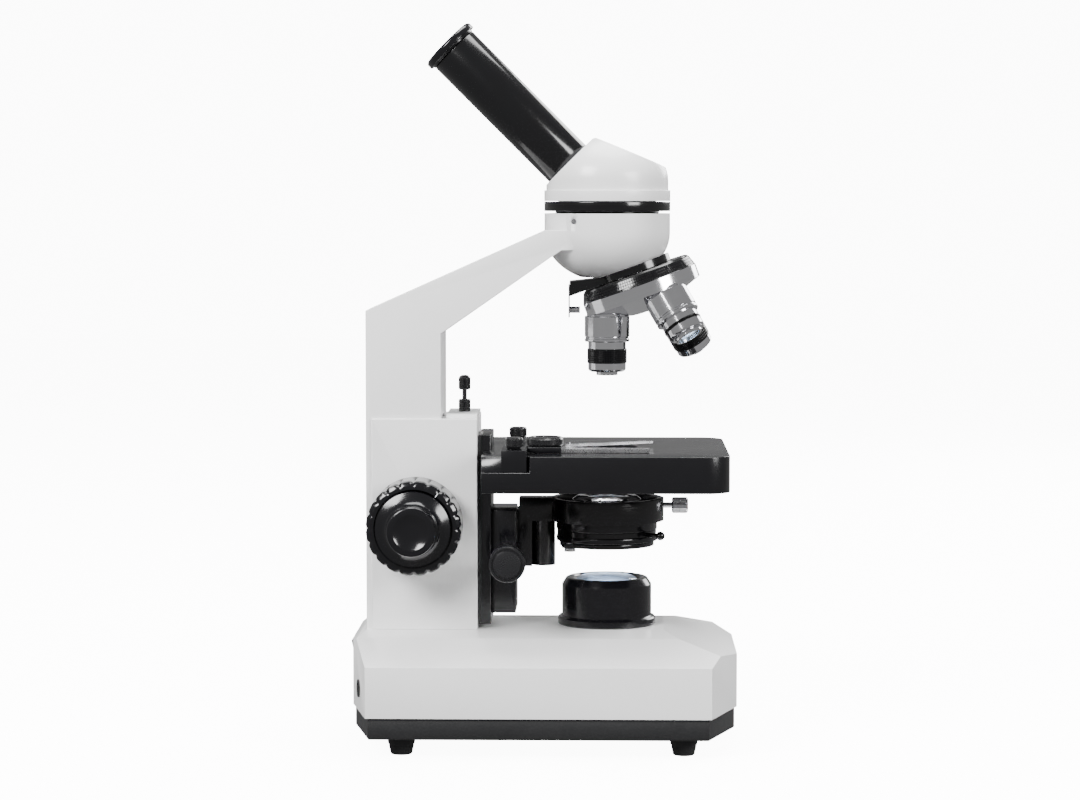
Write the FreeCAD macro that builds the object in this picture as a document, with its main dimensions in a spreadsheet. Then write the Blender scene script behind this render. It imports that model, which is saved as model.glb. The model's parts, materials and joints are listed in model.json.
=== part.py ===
import FreeCAD, Part
import Sketcher
import math
import os

"""A monocular laboratory microscope, piece by piece, in millimetres.

The origin is the centre of the base on the table.  +X runs from the arm towards the
stage, +Z is up, and the optical axis is vertical at X = optic_x, Y = 0.
"""

# ---------------------------------------------------------------- driving dimensions

DIMENSIONS = {
    # base
    "optic_x": 31.5, "base_front": 94.5, "base_rear": 91.5, "base_half_width": 70.0,
    "front_face_half": 31.7, "rear_face_half": 28.4, "front_corner": 13.3, "rear_corner": 9.0,
    "foot_height": 9.4, "foot_low_r": 5.2, "foot_top_r": 7.1, "foot_inset_rear": 25.0,
    "foot_inset_front": 26.1, "foot_inset_side": 18.0, "tray_height": 10.4, "tray_inset": 1.2,
    "tray_floor": 2.4, "shell_height": 35.9, "shell_wall_height": 25.2, "wall": 3.0,
    "bevel_inset": 3.0, "bevel_mid_half": 40.0, "bevel_mid_drop": 2.0, "plateau_half": 25.0,
    "nose_start": 28.0, "nose_drop": 9.4, "rear_drop": 3.2, "rear_flat": 6.2,
    "screw_r": 1.6, "screw_head_r": 2.9, "screw_inset": 9.0,
    # switch, inlet and lamp
    "switch_width": 13.0, "switch_height": 21.0, "switch_centre": 20.0, "switch_frame": 1.6,
    "inlet_r": 4.2, "inlet_rise": 22.2, "inlet_length": 11.0,
    "board_length": 62.0, "board_width": 44.0, "board_thick": 1.6,
    "collector_rim": 2.0, "collector_flange": 4.0, "collector_r": 22.0,
    "collector_height": 20.2, "collector_chamfer": 2.9, "collector_slope": 2.1,
    "collector_lens_r": 14.6, "lamp_star_r": 10.0, "lamp_dome_r": 3.2, "heatsink_r": 15.0,
    "lamp_drop": 16.0,
    # limb: column, slanted arm and bowl
    "column_front": 80.3, "throat": 62.8, "block_height": 102.6,
    "column_half": 23.8, "pad_half": 25.0, "back_drop": 46.8, "inner_drop": 58.2,
    "arm_top_x": 29.8, "arm_top_drop": 7.9, "arm_low_x": 22.1, "arm_low_drop": 17.6,
    "bowl_r": 30.7, "bowl_rise": 201.8, "bowl_depth": 33.4, "bowl_rim": 9.5, "bowl_foot_r": 12.9,
    "light_bore_r": 8.0, "socket_rim": 6.65, "socket_depth": 5.0,
    "cover_length": 15.0, "cover_thick": 2.0, "cover_half": 20.0,
    # focusing drive
    "focus_back": 92.0, "focus_rise": 52.5, "coarse_module": 0.8, "coarse_teeth": 14.0,
    "pinion_width": 7.0, "tooth_play": 0.12, "coarse_shaft_r": 4.0, "fine_shaft_r": 2.5,
    "run_fit": 0.05, "bush_r": 7.2, "bush_inner": 9.0, "collar_r": 15.0, "collar_length": 5.4,
    "coarse_knob_r": 22.8, "coarse_knob_start": 31.2, "coarse_knob_length": 23.8,
    "knob_rim": 4.8, "fine_knob_r": 11.9, "fine_knob_end": 71.0, "gap": 0.3,
    "channel_half": 9.3, "channel_depth": 15.6, "rack_half": 3.2, "slide_low": 6.5,
    "slide_length": 66.0, "tongue_half": 4.0, "tongue_depth": 3.6,
    "stop_back": 70.0, "stop_head_r": 2.95, "stop_nut_r": 2.95, "stop_rod_r": 1.2,
    # stage carrier
    "rail_half": 20.0, "rail_thick": 6.2, "rail_low": 2.0, "rail_above": 7.3,
    "carriage_thick": 12.0, "carriage_low": 7.0, "carriage_clear": 12.3, "carriage_half": 16.0,
    "stage_half_y": 59.0, "stage_rear": 59.5, "stage_front": 58.6, "stage_rise": 87.2,
    "stage_plate": 5.0, "stage_skirt": 17.4, "stage_wall": 3.2, "stage_corner_r": 12.0,
    "aperture_r": 15.0, "notch_length": 23.0, "notch_height": 7.5, "notch_depth": 2.6,
    # attachable slide holder on the stage
    "guide_x": 50.0, "guide_width": 12.0, "guide_reach": 83.0, "guide_height": 3.0,
    "thumb_near_in": 9.0, "thumb_far_in": 71.0, "thumb_r": 4.4, "thumb_height": 5.8,
    "cross_width": 16.0, "cross_half": 10.0, "cross_in": 29.0, "cross_reach": 7.0, "cross_height": 2.7,
    "disc_r": 9.0, "disc_height": 4.2, "holder_in": 31.0, "holder_width": 9.0,
    "holder_length": 42.0, "holder_height": 1.6, "finger_length": 44.0, "finger_rise": 22.0,
    "finger_width": 5.0, "finger_thick": 1.2, "pivot_in": 3.0, "blade_in": 1.5, "finger_pin_r": 1.0,
    # condenser
    "knob_back": 47.2, "knob_rise": 36.0, "knob_module": 0.5, "knob_teeth": 16.0,
    "knob_shaft_r": 2.5, "knob_r": 8.7, "knob_start": 49.0, "knob_end": 60.0,
    "lift_bar_half": 8.0, "lift_bar_low": 29.0, "lift_bar_length": 28.0, "lift_bar_front": 36.6,
    "post_out": 3.0, "post_r": 5.65, "ring_low": 51.3, "ring_height": 11.0, "ring_wall": 3.2,
    "condenser_r": 24.75, "condenser_seat": 5.0, "tower_r": 17.0,
    "condenser_low": 41.5, "condenser_top": 63.3,
    "condenser_nose_r": 14.5, "iris_low": 44.3, "iris_slot": 2.4, "iris_inner_r": 18.0,
    "iris_reach": 33.0, "iris_angle": 38.0, "filter_low": 38.9, "filter_height": 2.2,
    "filter_inset": 1.55, "filter_bore_r": 16.0, "pivot_angle": 37.875, "pivot_inset": 0.15,
    "pivot_r": 1.8,
    "clamp_head_r": 4.0, "clamp_stand": 4.0, "clamp_head": 8.0, "clamp_rod_r": 1.5,
    "clamp_rise": 7.2,
    # nosepiece and objectives
    "tilt": 20.0, "apex_over": 8.7, "plate_from": 36.4, "ring_from": 40.1, "ring_to": 45.9,
    "ring_top_r": 26.9, "turret_r": 29.1, "chrome_to": 49.9, "seat_from": 58.9, "hub_r": 9.0,
    "axle_r": 3.0, "thread_r": 10.16, "path_r": 7.5, "plate_r": 18.5, "tab_x": 18.3,
    "tab_root": 4.0, "tab_cheek": 3.5,
    "objective_step": 0.84, "thread_play": 0.06, "ten_length": 29.0, "four_length": 23.5,
    "forty_length": 34.8,
    "ten_tip_r": 5.25, "four_tip_r": 7.0, "forty_tip_r": 4.2,
    # head and eyepiece
    "bowl_ring_height": 5.4, "flange_height": 5.2, "flange_step": 0.1,
    "head_step": 1.0, "head_bore_r": 12.0, "face_x": 19.4, "face_over": 24.15, "crown_x": 5.6,
    "crown_over": 36.6, "brow_x": 24.9, "brow_over": 24.0, "head_wall": 3.0, "dome_start": 4.5,
    "tube_wall": 0.95, "tube_bore_r": 11.65, "tube_length": 78.2, "tube_inside": 11.0,
    "eyepiece_depth": 30.0, "cap_step": 1.8, "cap_neck": 1.0,
    "cap_height": 3.6, "eye_lens_step": 3.1,
}


class Size:
    """A number of the sheet together with the expression that yields it."""

    def __init__(self, value, text):
        self.value = float(value)
        self.text = text

    @staticmethod
    def wrap(other):
        """Return other as a Size."""
        if isinstance(other, Size):
            return other
        return Size(other, repr(float(other)))

    def _join(self, sign, other, value):
        return Size(value, "(%s %s %s)" % (self.text, sign, other.text))

    def __add__(self, other):
        other = Size.wrap(other)
        return self._join("+", other, self.value + other.value)

    def __sub__(self, other):
        other = Size.wrap(other)
        return self._join("-", other, self.value - other.value)

    def __mul__(self, other):
        other = Size.wrap(other)
        return self._join("*", other, self.value * other.value)

    def __truediv__(self, other):
        other = Size.wrap(other)
        return self._join("/", other, self.value / other.value)

    def __radd__(self, other):
        return Size.wrap(other) + self

    def __rsub__(self, other):
        return Size.wrap(other) - self

    def __rmul__(self, other):
        return Size.wrap(other) * self

    def __neg__(self):
        return Size(-self.value, "(0 - %s)" % self.text)

    def __float__(self):
        return self.value


class Sheet:
    """The spreadsheet of driving dimensions; each alias reads as an attribute."""

    def __init__(self, document, dimensions):
        self.table = document.addObject("Spreadsheet::Sheet", "dims")
        self.values = dimensions
        for row, (alias, value) in enumerate(dimensions.items(), start=1):
            self.table.set("A%d" % row, str(value))
            self.table.set("B%d" % row, alias.replace("_", " "))
            self.table.setAlias("A%d" % row, alias)

    def __getattr__(self, alias):
        return Size(self.values[alias], "dims." + alias)


doc = FreeCAD.newDocument("microscope")
d = Sheet(doc, DIMENSIONS)
doc.recompute()

SUB_PARTS = []
X_AXIS, Y_AXIS, Z_AXIS = (FreeCAD.Vector(*axis) for axis in ((1, 0, 0), (0, 1, 0), (0, 0, 1)))
NO_TURN = FreeCAD.Rotation()


# ---------------------------------------------------------------- modelling helpers

def place(item, at=(0, 0, 0), turn=NO_TURN):
    """Put an object at a point whose coordinates stay bound to the sheet."""
    spots = [Size.wrap(value) for value in at]
    item.Placement = FreeCAD.Placement(FreeCAD.Vector(*[spot.value for spot in spots]), turn)
    for name, spot in zip("xyz", spots):
        item.setExpression("Placement.Base." + name, spot.text)
    return item


def bind(item, **sizes):
    """Set properties of an object from sizes of the sheet."""
    for name, size in sizes.items():
        size = Size.wrap(size)
        setattr(item, name, size.value)
        item.setExpression(name, size.text)
    return item


def node(item, label):
    """Name an object as one of the sub-parts that are exported."""
    item.Label = label
    SUB_PARTS.append(item)
    return item


def sketch(body, points, plane):
    """Draw a closed outline on one of the body's own origin planes."""
    profile = body.newObject("Sketcher::SketchObject", body.Name + "_outline")
    origin_plane = [item for item in body.Origin.OriginFeatures if item.Role == plane][0]
    profile.AttachmentSupport = [(origin_plane, "")]
    profile.MapMode = "FlatFace"
    corners = [tuple(Size.wrap(value) for value in point) for point in points]
    spots = [FreeCAD.Vector(u.value, v.value, 0) for u, v in corners]
    for index, spot in enumerate(spots):
        profile.addGeometry(Part.LineSegment(spot, spots[(index + 1) % len(spots)]), False)
    for index, (u, v) in enumerate(corners):
        following = (index + 1) % len(corners)
        profile.addConstraint(Sketcher.Constraint("Coincident", index, 2, following, 1))
        for kind, size in (("DistanceX", u), ("DistanceY", v)):
            number = profile.addConstraint(
                Sketcher.Constraint(kind, -1, 1, index, 1, size.value))
            profile.setExpression("Constraints[%d]" % number, size.text)
    return profile


def turned(name, points, at=(0, 0, 0), turn=NO_TURN):
    """Revolve an outline of (radius, height) points about the body's own Z axis."""
    body = doc.addObject("PartDesign::Body", name)
    profile = sketch(body, points, "XZ_Plane")
    solid = body.newObject("PartDesign::Revolution", name + "_turn")
    solid.Profile = profile
    solid.ReferenceAxis = (profile, ["V_Axis"])
    solid.Angle = 360
    profile.Visibility = False
    return place(body, at, turn)


def padded(name, points, plane, length, at, symmetric):
    """Pad an outline drawn on an origin plane."""
    body = doc.addObject("PartDesign::Body", name)
    profile = sketch(body, points, plane)
    solid = body.newObject("PartDesign::Pad", name + "_pad")
    solid.Profile = profile
    solid.SideType = "Symmetric" if symmetric else "One side"
    bind(solid, Length=length)
    profile.Visibility = False
    return place(body, at)


def side_plate(name, points, width, y=0):
    """Pad an (x, z) outline to both sides of the plane at y."""
    return padded(name, points, "XZ_Plane", width, (0, y, 0), True)


def flat_plate(name, points, z, height):
    """Pad an (x, y) outline upwards from z."""
    return padded(name, points, "XY_Plane", height, (0, 0, z), False)


def cross_plate(name, points, x, length):
    """Pad a (y, z) outline towards +X from x."""
    return padded(name, points, "YZ_Plane", length, (x, 0, 0), False)


def box(name, low, high):
    """A block between two corners."""
    low = [Size.wrap(value) for value in low]
    high = [Size.wrap(value) for value in high]
    block = doc.addObject("Part::Box", name)
    bind(block, Length=high[0] - low[0], Width=high[1] - low[1], Height=high[2] - low[2])
    return place(block, low)


def rod(name, radius, length, at, axis=Z_AXIS):
    """A cylinder that starts at a point and runs along an axis."""
    cylinder = doc.addObject("Part::Cylinder", name)
    bind(cylinder, Radius=radius, Height=length)
    return place(cylinder, at, FreeCAD.Rotation(Z_AXIS, FreeCAD.Vector(axis)))


def through(name, radius, centre, axis=Z_AXIS, half=None):
    """A cylinder that reaches half its length to both sides of a point."""
    half = Size.wrap(half)
    at = [Size.wrap(c) - half * a for c, a in zip(centre, axis)]
    return rod(name, radius, half * 2, at, axis)


def fuse(name, items):
    """Join solids that touch or overlap."""
    result = doc.addObject("Part::MultiFuse", name)
    result.Shapes = items
    result.Refine = True
    return result


def cut(name, base, tools):
    """Take one or more tools away from a base."""
    result = doc.addObject("Part::Cut", name)
    result.Base = base
    result.Tool = tools[0] if len(tools) == 1 else fuse(name + "_tools", tools)
    return result


def common(name, items):
    """Keep what solids share."""
    result = doc.addObject("Part::MultiCommon", name)
    result.Shapes = items
    return result


def group(name, items):
    """Hold separate solids of one kind in one sub-part."""
    result = doc.addObject("Part::Compound", name)
    result.Links = items
    return result


# ---------------------------------------------------------------- levels and axes

optic = d.optic_x
tray_low = d.foot_height
tray_top = tray_low + d.tray_height
deck = tray_top + d.shell_height
block_top = deck + d.block_height
focus_x = optic - d.focus_back
focus_z = deck + d.focus_rise
block_front = optic - d.throat
bowl_top = deck + d.bowl_rise
stage_top = deck + d.stage_rise
apex_z = bowl_top + d.apex_over

# sizes and places that follow the piece they fit, seat on or line up with
column_back = optic + d.base_rear - d.rear_flat
foot_rear = d.base_rear - d.foot_inset_rear
foot_front = d.base_front - d.foot_inset_front
foot_side = d.base_half_width - d.foot_inset_side
bevel_low_half = d.base_half_width - d.bevel_inset
socket_r = d.bowl_r - d.socket_rim
flange_r = d.bowl_r + d.flange_step
head_r = flange_r - d.head_step
fine_flange_r = d.coarse_knob_r - d.knob_rim
ring_bore_r = d.condenser_r + d.run_fit
ring_r = ring_bore_r + d.ring_wall
filter_r = d.condenser_r - d.filter_inset
tube_r = d.tube_bore_r + d.tube_wall
eyepiece_r = d.tube_bore_r - d.run_fit
near_edge = -d.stage_half_y
back_rise = d.bowl_rise - d.back_drop
inner_rise = d.bowl_rise - d.inner_drop
arm_top_rise = d.bowl_rise - d.arm_top_drop
arm_low_rise = d.bowl_rise - d.arm_low_drop
face_rise = d.bowl_rise + d.face_over
crown_rise = d.bowl_rise + d.crown_over
brow_rise = d.bowl_rise + d.brow_over


def behind(distance):
    """X of a point behind the optical axis, on the arm's side."""
    return optic - distance


def above(rise):
    """Z of a point above the deck of the base."""
    return deck + rise


# ---------------------------------------------------------------- base

def plan(inset):
    """The base's eight-sided plan, drawn in by an inset."""
    front, rear = d.base_front - inset, -(d.base_rear - inset)
    side = d.base_half_width - inset
    half = [(rear, d.rear_face_half), (rear + d.rear_corner, side),
            (front - d.front_corner, side), (front, d.front_face_half)]
    return [(x, -y) for x, y in half] + [(x, y) for x, y in reversed(half)]


def screw_spots():
    """Where the tray is screwed to the shell, near its four corners."""
    near = d.base_half_width - d.screw_inset
    return [(x, y) for x in (-foot_rear, foot_front) for y in (-near, near)]


def make_tray():
    """The moulded tray that closes the base from below."""
    outer = flat_plate("tray_outer", plan(d.tray_inset), tray_low, d.tray_height)
    hollow = flat_plate("tray_hollow", plan(d.tray_inset + d.wall), tray_low + d.tray_floor,
                        d.tray_height)
    tools = [hollow]
    for index, (x, y) in enumerate(screw_spots()):
        tools.append(rod("tray_hole_%d" % index, d.screw_r + d.run_fit, d.tray_height,
                         (x, y, tray_low - 1)))
        tools.append(rod("tray_sink_%d" % index, d.screw_head_r + d.run_fit,
                         d.tray_floor / 2 + 1, (x, y, tray_low - 1)))
    posts = [rod("board_post_%d" % index, 2.2, 4, (x, y, tray_low + d.tray_floor))
             for index, (x, y) in enumerate([(-46, -17), (-46, 17), (6, -17), (6, 17)])]
    posts += [rod("heatsink_leg_%d" % index, 2, deck - d.lamp_drop - tray_low - d.tray_floor,
                  (optic + x, 0, tray_low + d.tray_floor)) for index, x in enumerate((-11, 11))]
    node(fuse("base_tray", [cut("tray_open", outer, tools)] + posts), "base_tray")


def make_feet():
    """Four rubber feet, each a cone on its own."""
    outline = [(0, 0), (d.foot_low_r, 0), (d.foot_top_r, d.foot_height), (0, d.foot_height)]
    feet = [turned("foot_%s_%s" % (end, side), outline, (x, y, 0))
            for end, x in (("rear", -foot_rear), ("front", foot_front))
            for side, y in (("near", -foot_side), ("far", foot_side))]
    node(group("rubber_feet", feet), "rubber_feet")


def make_tray_screws():
    """Four screws up through the tray into the shell's pillars."""
    head = d.tray_floor / 2
    outline = [(0, 0), (d.screw_head_r, 0), (d.screw_head_r, head), (d.screw_r, head),
               (d.screw_r, d.tray_height + 8), (0, d.tray_height + 8)]
    screws = [turned("tray_screw_%d" % index, outline, (x, y, tray_low))
              for index, (x, y) in enumerate(screw_spots())]
    node(group("tray_screws", screws), "tray_screws")


def bevel_tools():
    """Wedges that give the shell its sloping sides, nose and tail."""
    crease = tray_top + d.shell_wall_height
    reach = d.base_half_width + 5
    top = deck + 5
    length = d.base_front + d.base_rear + 10
    tools = []
    for side, sign in (("near", -1), ("far", 1)):
        profile = [(reach * sign, crease - (reach - bevel_low_half) * 0.3),
                   (bevel_low_half * sign, crease),
                   (d.bevel_mid_half * sign, deck - d.bevel_mid_drop),
                   (d.plateau_half * sign, deck), (d.plateau_half * sign, top),
                   (reach * sign, top)]
        tools.append(cross_plate("bevel_" + side, profile, -d.base_rear - 5, length))
    slope = d.nose_drop / (d.base_front - optic - d.nose_start - 2.5)
    end = d.base_front + 5
    nose = [(optic + d.nose_start, deck),
            (end, deck - (end - optic - d.nose_start) * slope), (end, top),
            (optic + d.nose_start, top)]
    tools.append(side_plate("bevel_nose", nose, reach * 2))
    rear = -d.base_rear
    tail = [(rear + d.rear_flat, deck), (rear + d.rear_flat, top), (rear - 5, top),
            (rear - 5, deck - d.rear_drop - 3), (rear + 1.2, deck - d.rear_drop)]
    tools.append(side_plate("bevel_tail", tail, reach * 2))
    return tools


def make_shell():
    """The painted upper half of the base, hollow, with its openings."""
    outer = cut("shell_form", flat_plate("shell_outer", plan(0), tray_top, d.shell_height),
                bevel_tools())
    low_room = flat_plate("shell_low_room", plan(d.wall), tray_top - 1,
                          d.shell_wall_height - d.wall + 1)
    high_room = box("shell_high_room",
                    (-d.base_rear + d.rear_flat + d.wall, -d.bevel_mid_half + d.wall,
                     tray_top + 1),
                    (optic + d.nose_start, d.bevel_mid_half - d.wall,
                     deck - d.bevel_mid_drop - d.wall))
    lamp_hole = rod("shell_lamp_hole", d.collector_r - 2, d.wall * 4,
                    (optic, 0, deck - d.wall * 2.5))
    switch = box("shell_switch_hole",
                 (-d.base_rear - 1, -d.switch_width / 2, tray_top + d.switch_centre
                  - d.switch_height / 2),
                 (-d.base_rear + d.wall * 3, d.switch_width / 2,
                  tray_top + d.switch_centre + d.switch_height / 2))
    spot, axis = inlet_line()
    inlet = rod("shell_inlet_hole", d.inlet_r + d.run_fit, d.inlet_length + 8,
                [s - a * 4 for s, a in zip(spot, axis)], axis)
    bolts = [rod("shell_bolt_hole_%d" % index, 2.5, 12, (x, y, deck - 10))
             for index, (x, y) in enumerate(limb_screw_spots())]
    hollow = cut("shell_hollow", outer,
                 [low_room, high_room, lamp_hole, switch, inlet] + bolts)
    pillars = [rod("shell_pillar_%d" % index, d.screw_head_r + 1, d.shell_wall_height - d.wall,
                   (x, y, tray_top)) for index, (x, y) in enumerate(screw_spots())]
    threads = [rod("shell_thread_%d" % index, d.screw_r + d.run_fit, 9.5,
                   (x, y, tray_top - 1)) for index, (x, y) in enumerate(screw_spots())]
    node(cut("base_shell", fuse("shell_form_pillars", [hollow] + pillars), threads),
         "base_shell")


def inlet_line():
    """The inlet's mouth on the rear near corner and the direction it runs inwards."""
    across = d.base_half_width - d.rear_face_half
    length = math.hypot(across.value, d.rear_corner.value)
    axis = (across.value / length, d.rear_corner.value / length, 0)
    mouth = (-d.base_rear + d.rear_corner / 2, -(d.rear_face_half + across / 2),
             tray_top + d.inlet_rise / 2)
    return mouth, axis


def make_inlet():
    """The low-voltage inlet: a round socket with its centre pin."""
    mouth, axis = inlet_line()
    start = [m - a * 0.6 for m, a in zip(mouth, axis)]
    barrel = rod("inlet_barrel", d.inlet_r, d.inlet_length, start, axis)
    bore = rod("inlet_bore", d.inlet_r - 1.4, d.inlet_length - 2,
               [s - a for s, a in zip(start, axis)], axis)
    pin = rod("inlet_pin", 0.9, d.inlet_length - 2, [s + a for s, a in zip(start, axis)], axis)
    node(fuse("dc_inlet", [cut("inlet_socket", barrel, [bore]), pin]), "dc_inlet")


def make_switch():
    """The rocker switch and the frame it clicks into."""
    middle = tray_top + d.switch_centre
    half_w, half_h = d.switch_width / 2, d.switch_height / 2
    depth = d.wall * 2
    frame = box("switch_frame_block", (-d.base_rear - 1.2, -half_w, middle - half_h),
                (-d.base_rear + depth, half_w, middle + half_h))
    inner_w, inner_h = half_w - d.switch_frame, half_h - d.switch_frame
    window = box("switch_window", (-d.base_rear - 2, -inner_w, middle - inner_h),
                 (-d.base_rear + depth - 1, inner_w, middle + inner_h))
    node(cut("switch_frame", frame, [window]), "switch_frame")
    play = d.gap
    face = -d.base_rear - 1.2
    rocker = [(face + 3, middle - inner_h + play), (face + 0.4, middle - inner_h + play * 3),
              (face - 0.1, middle), (face - 1.8, middle + inner_h - play * 4),
              (face + 3, middle + inner_h - play)]
    node(side_plate("rocker_switch", rocker, (inner_w - play) * 2), "rocker_switch")


def make_lamp():
    """The lamp under the collector and the board that drives it."""
    floor = tray_low + d.tray_floor
    sink_low = deck - d.lamp_drop
    sink = [(0, 0), (d.heatsink_r, 0), (d.heatsink_r, 4), (d.lamp_star_r, 4),
            (d.lamp_star_r, 5), (0, 5)]
    node(turned("lamp_heatsink", sink, (optic, 0, sink_low)), "lamp_heatsink")
    lamp = [(0, 0), (d.lamp_star_r, 0), (d.lamp_star_r, d.board_thick),
            (d.lamp_dome_r, d.board_thick), (d.lamp_dome_r, d.board_thick + 1.2),
            (d.lamp_dome_r * 0.6, d.board_thick + 2.8), (0, d.board_thick + 3.4)]
    node(turned("lamp_led", lamp, (optic, 0, sink_low + 5)), "lamp_led")
    board_low = floor + 4
    board = box("board_plate", (-d.board_length / 2 - 20, -d.board_width / 2, board_low),
                (d.board_length / 2 - 20, d.board_width / 2, board_low + d.board_thick))
    bits = [box("board_coil", (-40, -10, board_low + d.board_thick),
                (-24, 8, board_low + d.board_thick + 11)),
            rod("board_capacitor", 5, 13, (-8, 8, board_low + d.board_thick))]
    node(fuse("driver_board", [board] + bits), "driver_board")


def make_collector():
    """The field lens in its round housing on the deck."""
    top = d.collector_height + d.collector_chamfer
    bore = d.collector_lens_r
    flange = d.collector_r + d.collector_rim
    outline = [(bore, 0), (flange, 0), (flange, d.collector_flange),
               (d.collector_r, d.collector_flange), (d.collector_r, d.collector_height),
               (d.collector_r - d.collector_slope, top), (bore + 0.8, top), (bore + 0.8, top - 3),
               (bore - 1.6, top - 3), (bore - 1.6, top - 7), (bore, top - 7)]
    node(turned("collector_housing", outline, (optic, 0, deck)), "collector_housing")
    lens = [(0, top - 3), (bore + 0.7, top - 3), (bore + 0.7, top - 1.2),
            (bore * 0.75, top + 0.6), (bore * 0.4, top + 1.6), (0, top + 2.0)]
    node(turned("collector_lens", lens, (optic, 0, deck)), "collector_lens")


# ---------------------------------------------------------------- limb

def nose_turn():
    """Rotation that carries +Z onto the nosepiece's axis, down and forward."""
    tilt = math.radians(d.tilt.value)
    return FreeCAD.Rotation(Z_AXIS, FreeCAD.Vector(math.sin(tilt), 0, -math.cos(tilt)))


def make_limb():
    """The cast column, slanted arm and bowl, with the bores that it carries."""
    side = [(behind(column_back), deck), (block_front, deck), (block_front, block_top),
            (behind(d.column_front), block_top), (behind(d.column_front), above(inner_rise)),
            (behind(d.arm_low_x), above(arm_low_rise)), (optic, above(arm_low_rise)),
            (optic, above(arm_top_rise)), (behind(d.arm_top_x), above(arm_top_rise)),
            (behind(column_back), above(back_rise))]
    column = side_plate("limb_side", side, d.column_half * 2)
    pad = box("limb_pad", (behind(column_back) + 2.8, -d.pad_half, deck),
              (block_front, d.pad_half, block_top))
    round_part = d.bowl_depth - d.bowl_rim
    first = math.asin(d.bowl_foot_r.value / d.bowl_r.value)
    angles = [first + (math.pi / 2 - first) * step / 12 for step in range(13)]
    bowl = [(0, -d.bowl_rim - round_part * math.cos(first))]
    bowl += [(d.bowl_r * math.sin(angle), -d.bowl_rim - round_part * math.cos(angle))
             for angle in angles]
    bowl += [(d.bowl_r, 0), (0, 0)]
    body = fuse("limb_form", [column, pad, turned("limb_bowl", bowl, (optic, 0, bowl_top))])
    reach = d.pad_half + 5
    base = deck + 1
    tools = [
        through("limb_shaft_bore", d.bush_r, (focus_x, 0, focus_z), Y_AXIS, reach),
        box("limb_channel", (block_front - d.channel_depth, -d.channel_half, base),
            (block_front + 1, d.channel_half, block_top + 1)),
        box("limb_rack_slot", (focus_x + 3, -d.rack_half - 1, base),
            (block_front, d.rack_half + 1, block_top + 1)),
        rod("limb_light_bore", d.light_bore_r, d.bowl_depth * 2,
            (optic, 0, bowl_top - d.bowl_depth * 1.5)),
        rod("limb_socket", socket_r, d.socket_depth + 1,
            (optic, 0, bowl_top - d.socket_depth)),
        rod("limb_nose_room", d.bowl_r * 1.6, 60, nose_point(d.plate_from), nose_axis()),
        rod("limb_grub_hole", 1.3, 12, (optic - 16, -d.bowl_r, bowl_top - 3.9), Y_AXIS),
    ]
    for index, (x, y) in enumerate(limb_screw_spots()):
        tools.append(rod("limb_screw_hole_%d" % index, 2.5, 14, (x, y, deck - 1)))
    node(cut("limb", body, tools), "limb")


def limb_screw_spots():
    """Where the limb is bolted to the base."""
    rear = behind(column_back) + 10
    front = block_front - 7
    return [(x, y) for x in (rear, front) for y in (-16, 16)]


def make_limb_screws():
    """Four bolts up through the shell's deck into the limb."""
    outline = [(0, 0), (4.2, 0), (4.2, 3), (2.4, 3), (2.4, 15), (0, 15)]
    low = deck - d.bevel_mid_drop - d.wall - 3
    screws = [turned("limb_screw_%d" % index, outline, (x, y, low))
              for index, (x, y) in enumerate(limb_screw_spots())]
    node(group("limb_screws", screws), "limb_screws")


def make_block_cover():
    """The plate over the top of the rack channel, with the stop screw through it."""
    plate = box("cover_plate", (block_front - 0.2 - d.cover_length, -d.cover_half, block_top),
                (block_front - 0.2, d.cover_half, block_top + d.cover_thick))
    hole = rod("cover_hole", d.stop_rod_r + d.run_fit, d.cover_thick * 3,
               (behind(d.stop_back), 0, block_top - d.cover_thick))
    node(cut("block_cover", plate, [hole]), "block_cover")


def make_stop_screw():
    """The knurled screw that sets how high the stage may rise, and its lock nut."""
    nut_low = d.cover_thick
    nut = [(d.stop_rod_r + d.run_fit, nut_low), (d.stop_nut_r, nut_low),
           (d.stop_nut_r, nut_low + 6), (d.stop_rod_r + d.run_fit, nut_low + 6)]
    spot = (behind(d.stop_back), 0, block_top)
    node(turned("stop_nut", nut, spot), "stop_nut")
    screw = [(0, -0.5), (d.stop_rod_r, -0.5), (d.stop_rod_r, 12.8), (d.stop_head_r, 12.8),
             (d.stop_head_r, 18.6), (d.stop_head_r - 1.2, 20), (0, 20)]
    node(turned("stop_screw", screw, spot), "stop_screw")


def make_bowl_ring():
    """The black ring between bowl and head, and the grub screw that holds the head."""
    low = d.gap
    outline = [(socket_r, low), (flange_r - 5.5, low), (flange_r - 5.5, low + 0.8),
               (flange_r, low + 0.8), (flange_r, low + d.bowl_ring_height),
               (socket_r, low + d.bowl_ring_height)]
    ring = turned("bowl_ring_turned", outline, (optic, 0, bowl_top))
    seat = turned("bowl_ring_seat",
                  [(socket_r, 0), (flange_r - 5.5, 0), (flange_r - 5.5, low + 0.4),
                   (socket_r, low + 0.4)], (optic, 0, bowl_top))
    node(fuse("bowl_ring", [ring, seat]), "bowl_ring")
    return rod("grub_screw", 1.25, 4.5, (optic - 16, -d.bowl_r + 5, bowl_top - 3.9), Y_AXIS)


# ---------------------------------------------------------------- focusing drive

def gear_tooth(module, teeth, radius):
    """Half the angle of a tooth, less its play, at a radius outside the base circle."""
    pitch = module * teeth / 2
    base = pitch * math.cos(math.radians(20))

    def involute(at):
        turn = math.sqrt(max((at / base) ** 2 - 1, 0))
        return turn - math.atan(turn)

    play = d.tooth_play.value / pitch
    return math.pi / (2 * teeth) - play + involute(pitch) - involute(max(radius, base))


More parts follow.
